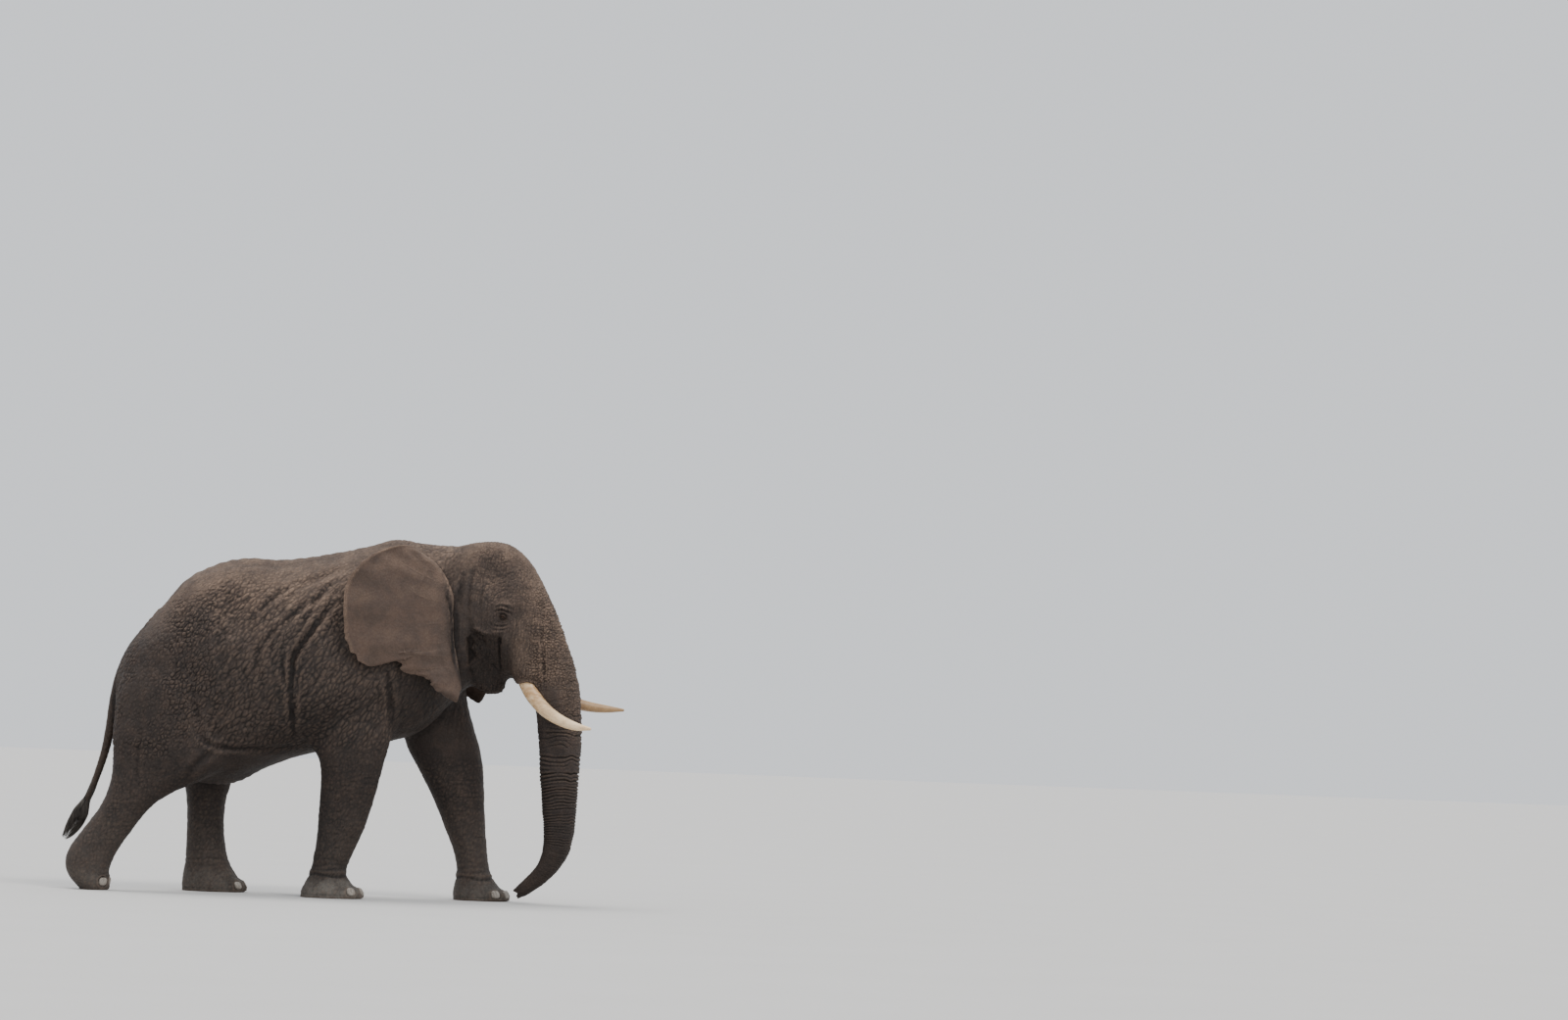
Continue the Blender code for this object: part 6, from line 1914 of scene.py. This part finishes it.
def lash_set(name, side, seed):
    rng = np.random.default_rng(seed)
    a_ax, b_ax, o_ax = eye_frame(side)
    rows = []
    for upper, count in ((True, 74), (False, 30)):
        for i in range(count):
            a = EYE_W * rng.uniform(-0.93, 0.95)
            h = EYE_H if upper else EYE_L
            edge = (h * (1 - (a / EYE_W) ** 2) + 0.0018 + rng.uniform(0, 0.0012)) * (1 if upper else -1)
            rho = math.hypot(a, edge)
            c = math.sqrt(max((EYE_RADIUS + 0.0052) ** 2 - rho ** 2, 0.0)) - 0.0012
            length = rng.uniform(0.020, 0.036) if upper else rng.uniform(0.010, 0.018)
            fan = a / EYE_W * 0.45 + rng.normal(0, 0.12)
            g = np.linspace(0, 1, 8)
            droop = -0.55 if upper else -0.75
            root = np.array((a, edge, c))
            way = np.array((fan, droop * (1 if upper else 1), 1.0))
            way /= np.linalg.norm(way)
            curl = np.array((fan * 0.4, 0.9 if upper else -0.2, -0.15))
            p = root + g[:, None] * way * length + (g ** 2)[:, None] * curl * length * 0.45
            rows.append((EYE_AT[side] + p[:, :1] * a_ax + p[:, 1:2] * b_ax + p[:, 2:] * o_ax,
                         rng.uniform(0.00035, 0.0005) * (1 - 0.8 * g)))
    paths, radii = np.array([r[0] for r in rows]), np.array([r[1] for r in rows])
    h = in_head(paths[:, 0]) - np.array((0.42, 0.0, -0.02))
    pi = math.pi + 0.08
    lon, lat = np.arctan2(h[:, 1], h[:, 0]), np.arctan2(h[:, 2], np.hypot(h[:, 0], h[:, 1]))
    uv = np.stack([0.62 + 0.37 * (lon + pi) / (2 * pi), 0.01 + 0.33 * (lat + 1.6) / 3.2], 1)
    return strands(name, paths, radii, uv)


def bristles(v, n, z, me, count, seed):
    """Sparse stiff hairs on chin, trunk, crown and tail."""
    rng = np.random.default_rng(seed)
    f, s, u = z["h"].T
    t = z["t"][0]
    want = (0.9 * z["head"] * sstep(-0.30, -0.52, u) * sstep(0.2, 0.4, f) * (n[:, 2] < 0.2)
            + 0.10 * z["trunk"] * sstep(2.7, 0.4, t) + 0.16 * z["head"] * sstep(0.38, 0.55, u)
            + 0.05 * z["head"] + 0.9 * z["tail"] * sstep(0.55, 0.95, z["tail_t"]))
    clear = np.minimum(np.linalg.norm(v - EYE_AT[-1], axis=1), np.linalg.norm(v - EYE_AT[1], axis=1)) > 0.05
    want = want * clear
    total = want.sum()
    pick = rng.choice(len(v), size=count, replace=False, p=want / total)
    g = np.linspace(0, 1, 5)
    down = np.array((0, 0, -1.0))
    length = rng.uniform(0.014, 0.038, count) * np.where(z["tail"][pick] > 0.3, 1.4, 1.0)
    way = n[pick] + rng.normal(0, 0.25, (count, 3)) + 0.35 * down
    way /= np.linalg.norm(way, axis=1)[:, None]
    paths = (v[pick] - n[pick] * 0.0015)[:, None] + g[None, :, None] * (way * length[:, None])[:, None] \
        + (g ** 2)[None, :, None] * (down * 0.30)[None, None] * length[:, None, None]
    paths[..., 2] = np.maximum(paths[..., 2], 0.002)
    radii = rng.uniform(0.0003, 0.00055, count)[:, None] * (1 - 0.8 * g)[None]
    lv = np.empty(len(me.loops), np.int32)
    me.loops.foreach_get("vertex_index", lv)
    uvs = np.empty(len(me.loops) * 2, np.float32)
    me.uv_layers["OFBake"].data.foreach_get("uv", uvs)
    first = np.zeros(len(v), np.int64)
    first[lv[::-1]] = np.arange(len(lv))[::-1]
    return strands("bristles", paths, radii, uvs.reshape(-1, 2)[first[pick]])


tusk_objects = [(big_tusk("ivory_right", TUSK_RIGHT, -1, 701), "tusk_right"),
                (big_tusk("ivory_left", TUSK_LEFT, 1, 711), "tusk_left")]
nail_objects = all_nails()
eye_objects = [(eye_ball("eyeball_right", -1), "eye_right"), (eye_ball("eyeball_left", 1), "eye_left")]
hair_objects = [tail_hair(1300, 801), lash_set("lashes_right", -1, 811), lash_set("lashes_left", 1, 821),
                bristles(v2, n2, Z, me, 800, 831)]
say("pieces")

# ------------------------------------------------------------------ dress and place, and hide the solids they replace
FLESH = [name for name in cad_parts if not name.startswith(("eye_", "tusk_", "nail_", "tail_tuft"))]


def give(ob, mat, slot, *nodes):
    ob.data.materials.clear()
    ob.data.materials.append(mat)
    ob.data.transform(Matrix.Translation(Vector(SHIFT)))
    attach(ob, "root")
    if nodes:
        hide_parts(*nodes)


skin.name = "hide"
give(skin, skin_material(), "skin", *FLESH)
for (ob, node), mat in zip(tusk_objects, (ivory_material("ivory_near", (0.95, 0.76, 0.50), (0.84, 0.60, 0.35), (0.52, 0.31, 0.145), 0.32),
                                          ivory_material("ivory_far", (0.44, 0.275, 0.13), (0.28, 0.16, 0.072), (0.20, 0.11, 0.052), 0.75))):
    give(ob, mat, "ivory", node)
horn = nail_material()
for ob, node in nail_objects:
    give(ob, horn, "horn", node)
wet = eye_material()
for ob, node in eye_objects:
    give(ob, wet, "eye", node)
tuft = hair_material("tail_hair", (0.036, 0.031, 0.027), (0.105, 0.092, 0.080))
black = hair_material("coarse_hair", (0.006, 0.005, 0.0045), (0.018, 0.014, 0.012))
for ob, nodes, mat in zip(hair_objects, (("tail_tuft",), (), (), ()), (tuft, black, black, black)):
    give(ob, mat, "hair", *nodes)

# ------------------------------------------------------------------ stage, light and camera
bm = bmesh.new()
bmesh.ops.create_grid(bm, x_segments=1, y_segments=1, size=220.0)
floor_ob = new_object("studio_floor", bm)
n = Nodes("studio_floor")
floor_ob.data.materials.append(n.surface(n.mix(n.noise(0.8, 3.0), (0.490, 0.486, 0.478), (0.525, 0.520, 0.512)), 0.95))

world = bpy.data.worlds.new("studio")
SCENE.world = world
world.use_nodes = True
back = world.node_tree.nodes.get("Background") or world.node_tree.nodes.new("ShaderNodeBackground")
back.inputs["Color"].default_value = (0.90, 0.93, 0.97, 1.0)
back.inputs["Strength"].default_value = 1.05


def sun_light(name, toward, strength, spread, colour=(1, 1, 1)):
    data = bpy.data.lights.new(name, "SUN")
    data.energy = strength
    data.angle = math.radians(spread)
    data.color = colour
    ob = link(bpy.data.objects.new(name, data))
    ob.rotation_euler = Vector(toward).to_track_quat("-Z", "Y").to_euler()
    return ob


sun_light("key", (-0.50, 0.60, -0.85), 1.6, 22, (1.0, 0.965, 0.92))
sun_light("top", (0.20, -0.25, -1.0), 2.3, 36, (1.0, 0.975, 0.94))

yaw, pitch, roll = math.radians(4.49804), math.radians(2.77585), math.radians(2.18)
fwd = Vector((math.sin(yaw) * math.cos(pitch), math.cos(yaw) * math.cos(pitch), math.sin(pitch)))
right = Vector((math.cos(yaw), -math.sin(yaw), 0.0))
upw = right.cross(fwd)
cam_x = right * math.cos(roll) + upw * math.sin(roll)
cam_y = -right * math.sin(roll) + upw * math.cos(roll)
lens = bpy.data.cameras.new("camera")
lens.lens = 112.876
lens.sensor_width = 36.0
lens.clip_start, lens.clip_end = 0.5, 1000.0
cam = link(bpy.data.objects.new("camera", lens))
cam.matrix_world = Matrix.Translation((0.3819, -45.0637, 1.5)) @ Matrix((cam_x, cam_y, -fwd)).transposed().to_4x4()
SCENE.camera = cam

bpy.context.view_layer.update()
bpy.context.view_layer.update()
say("done")
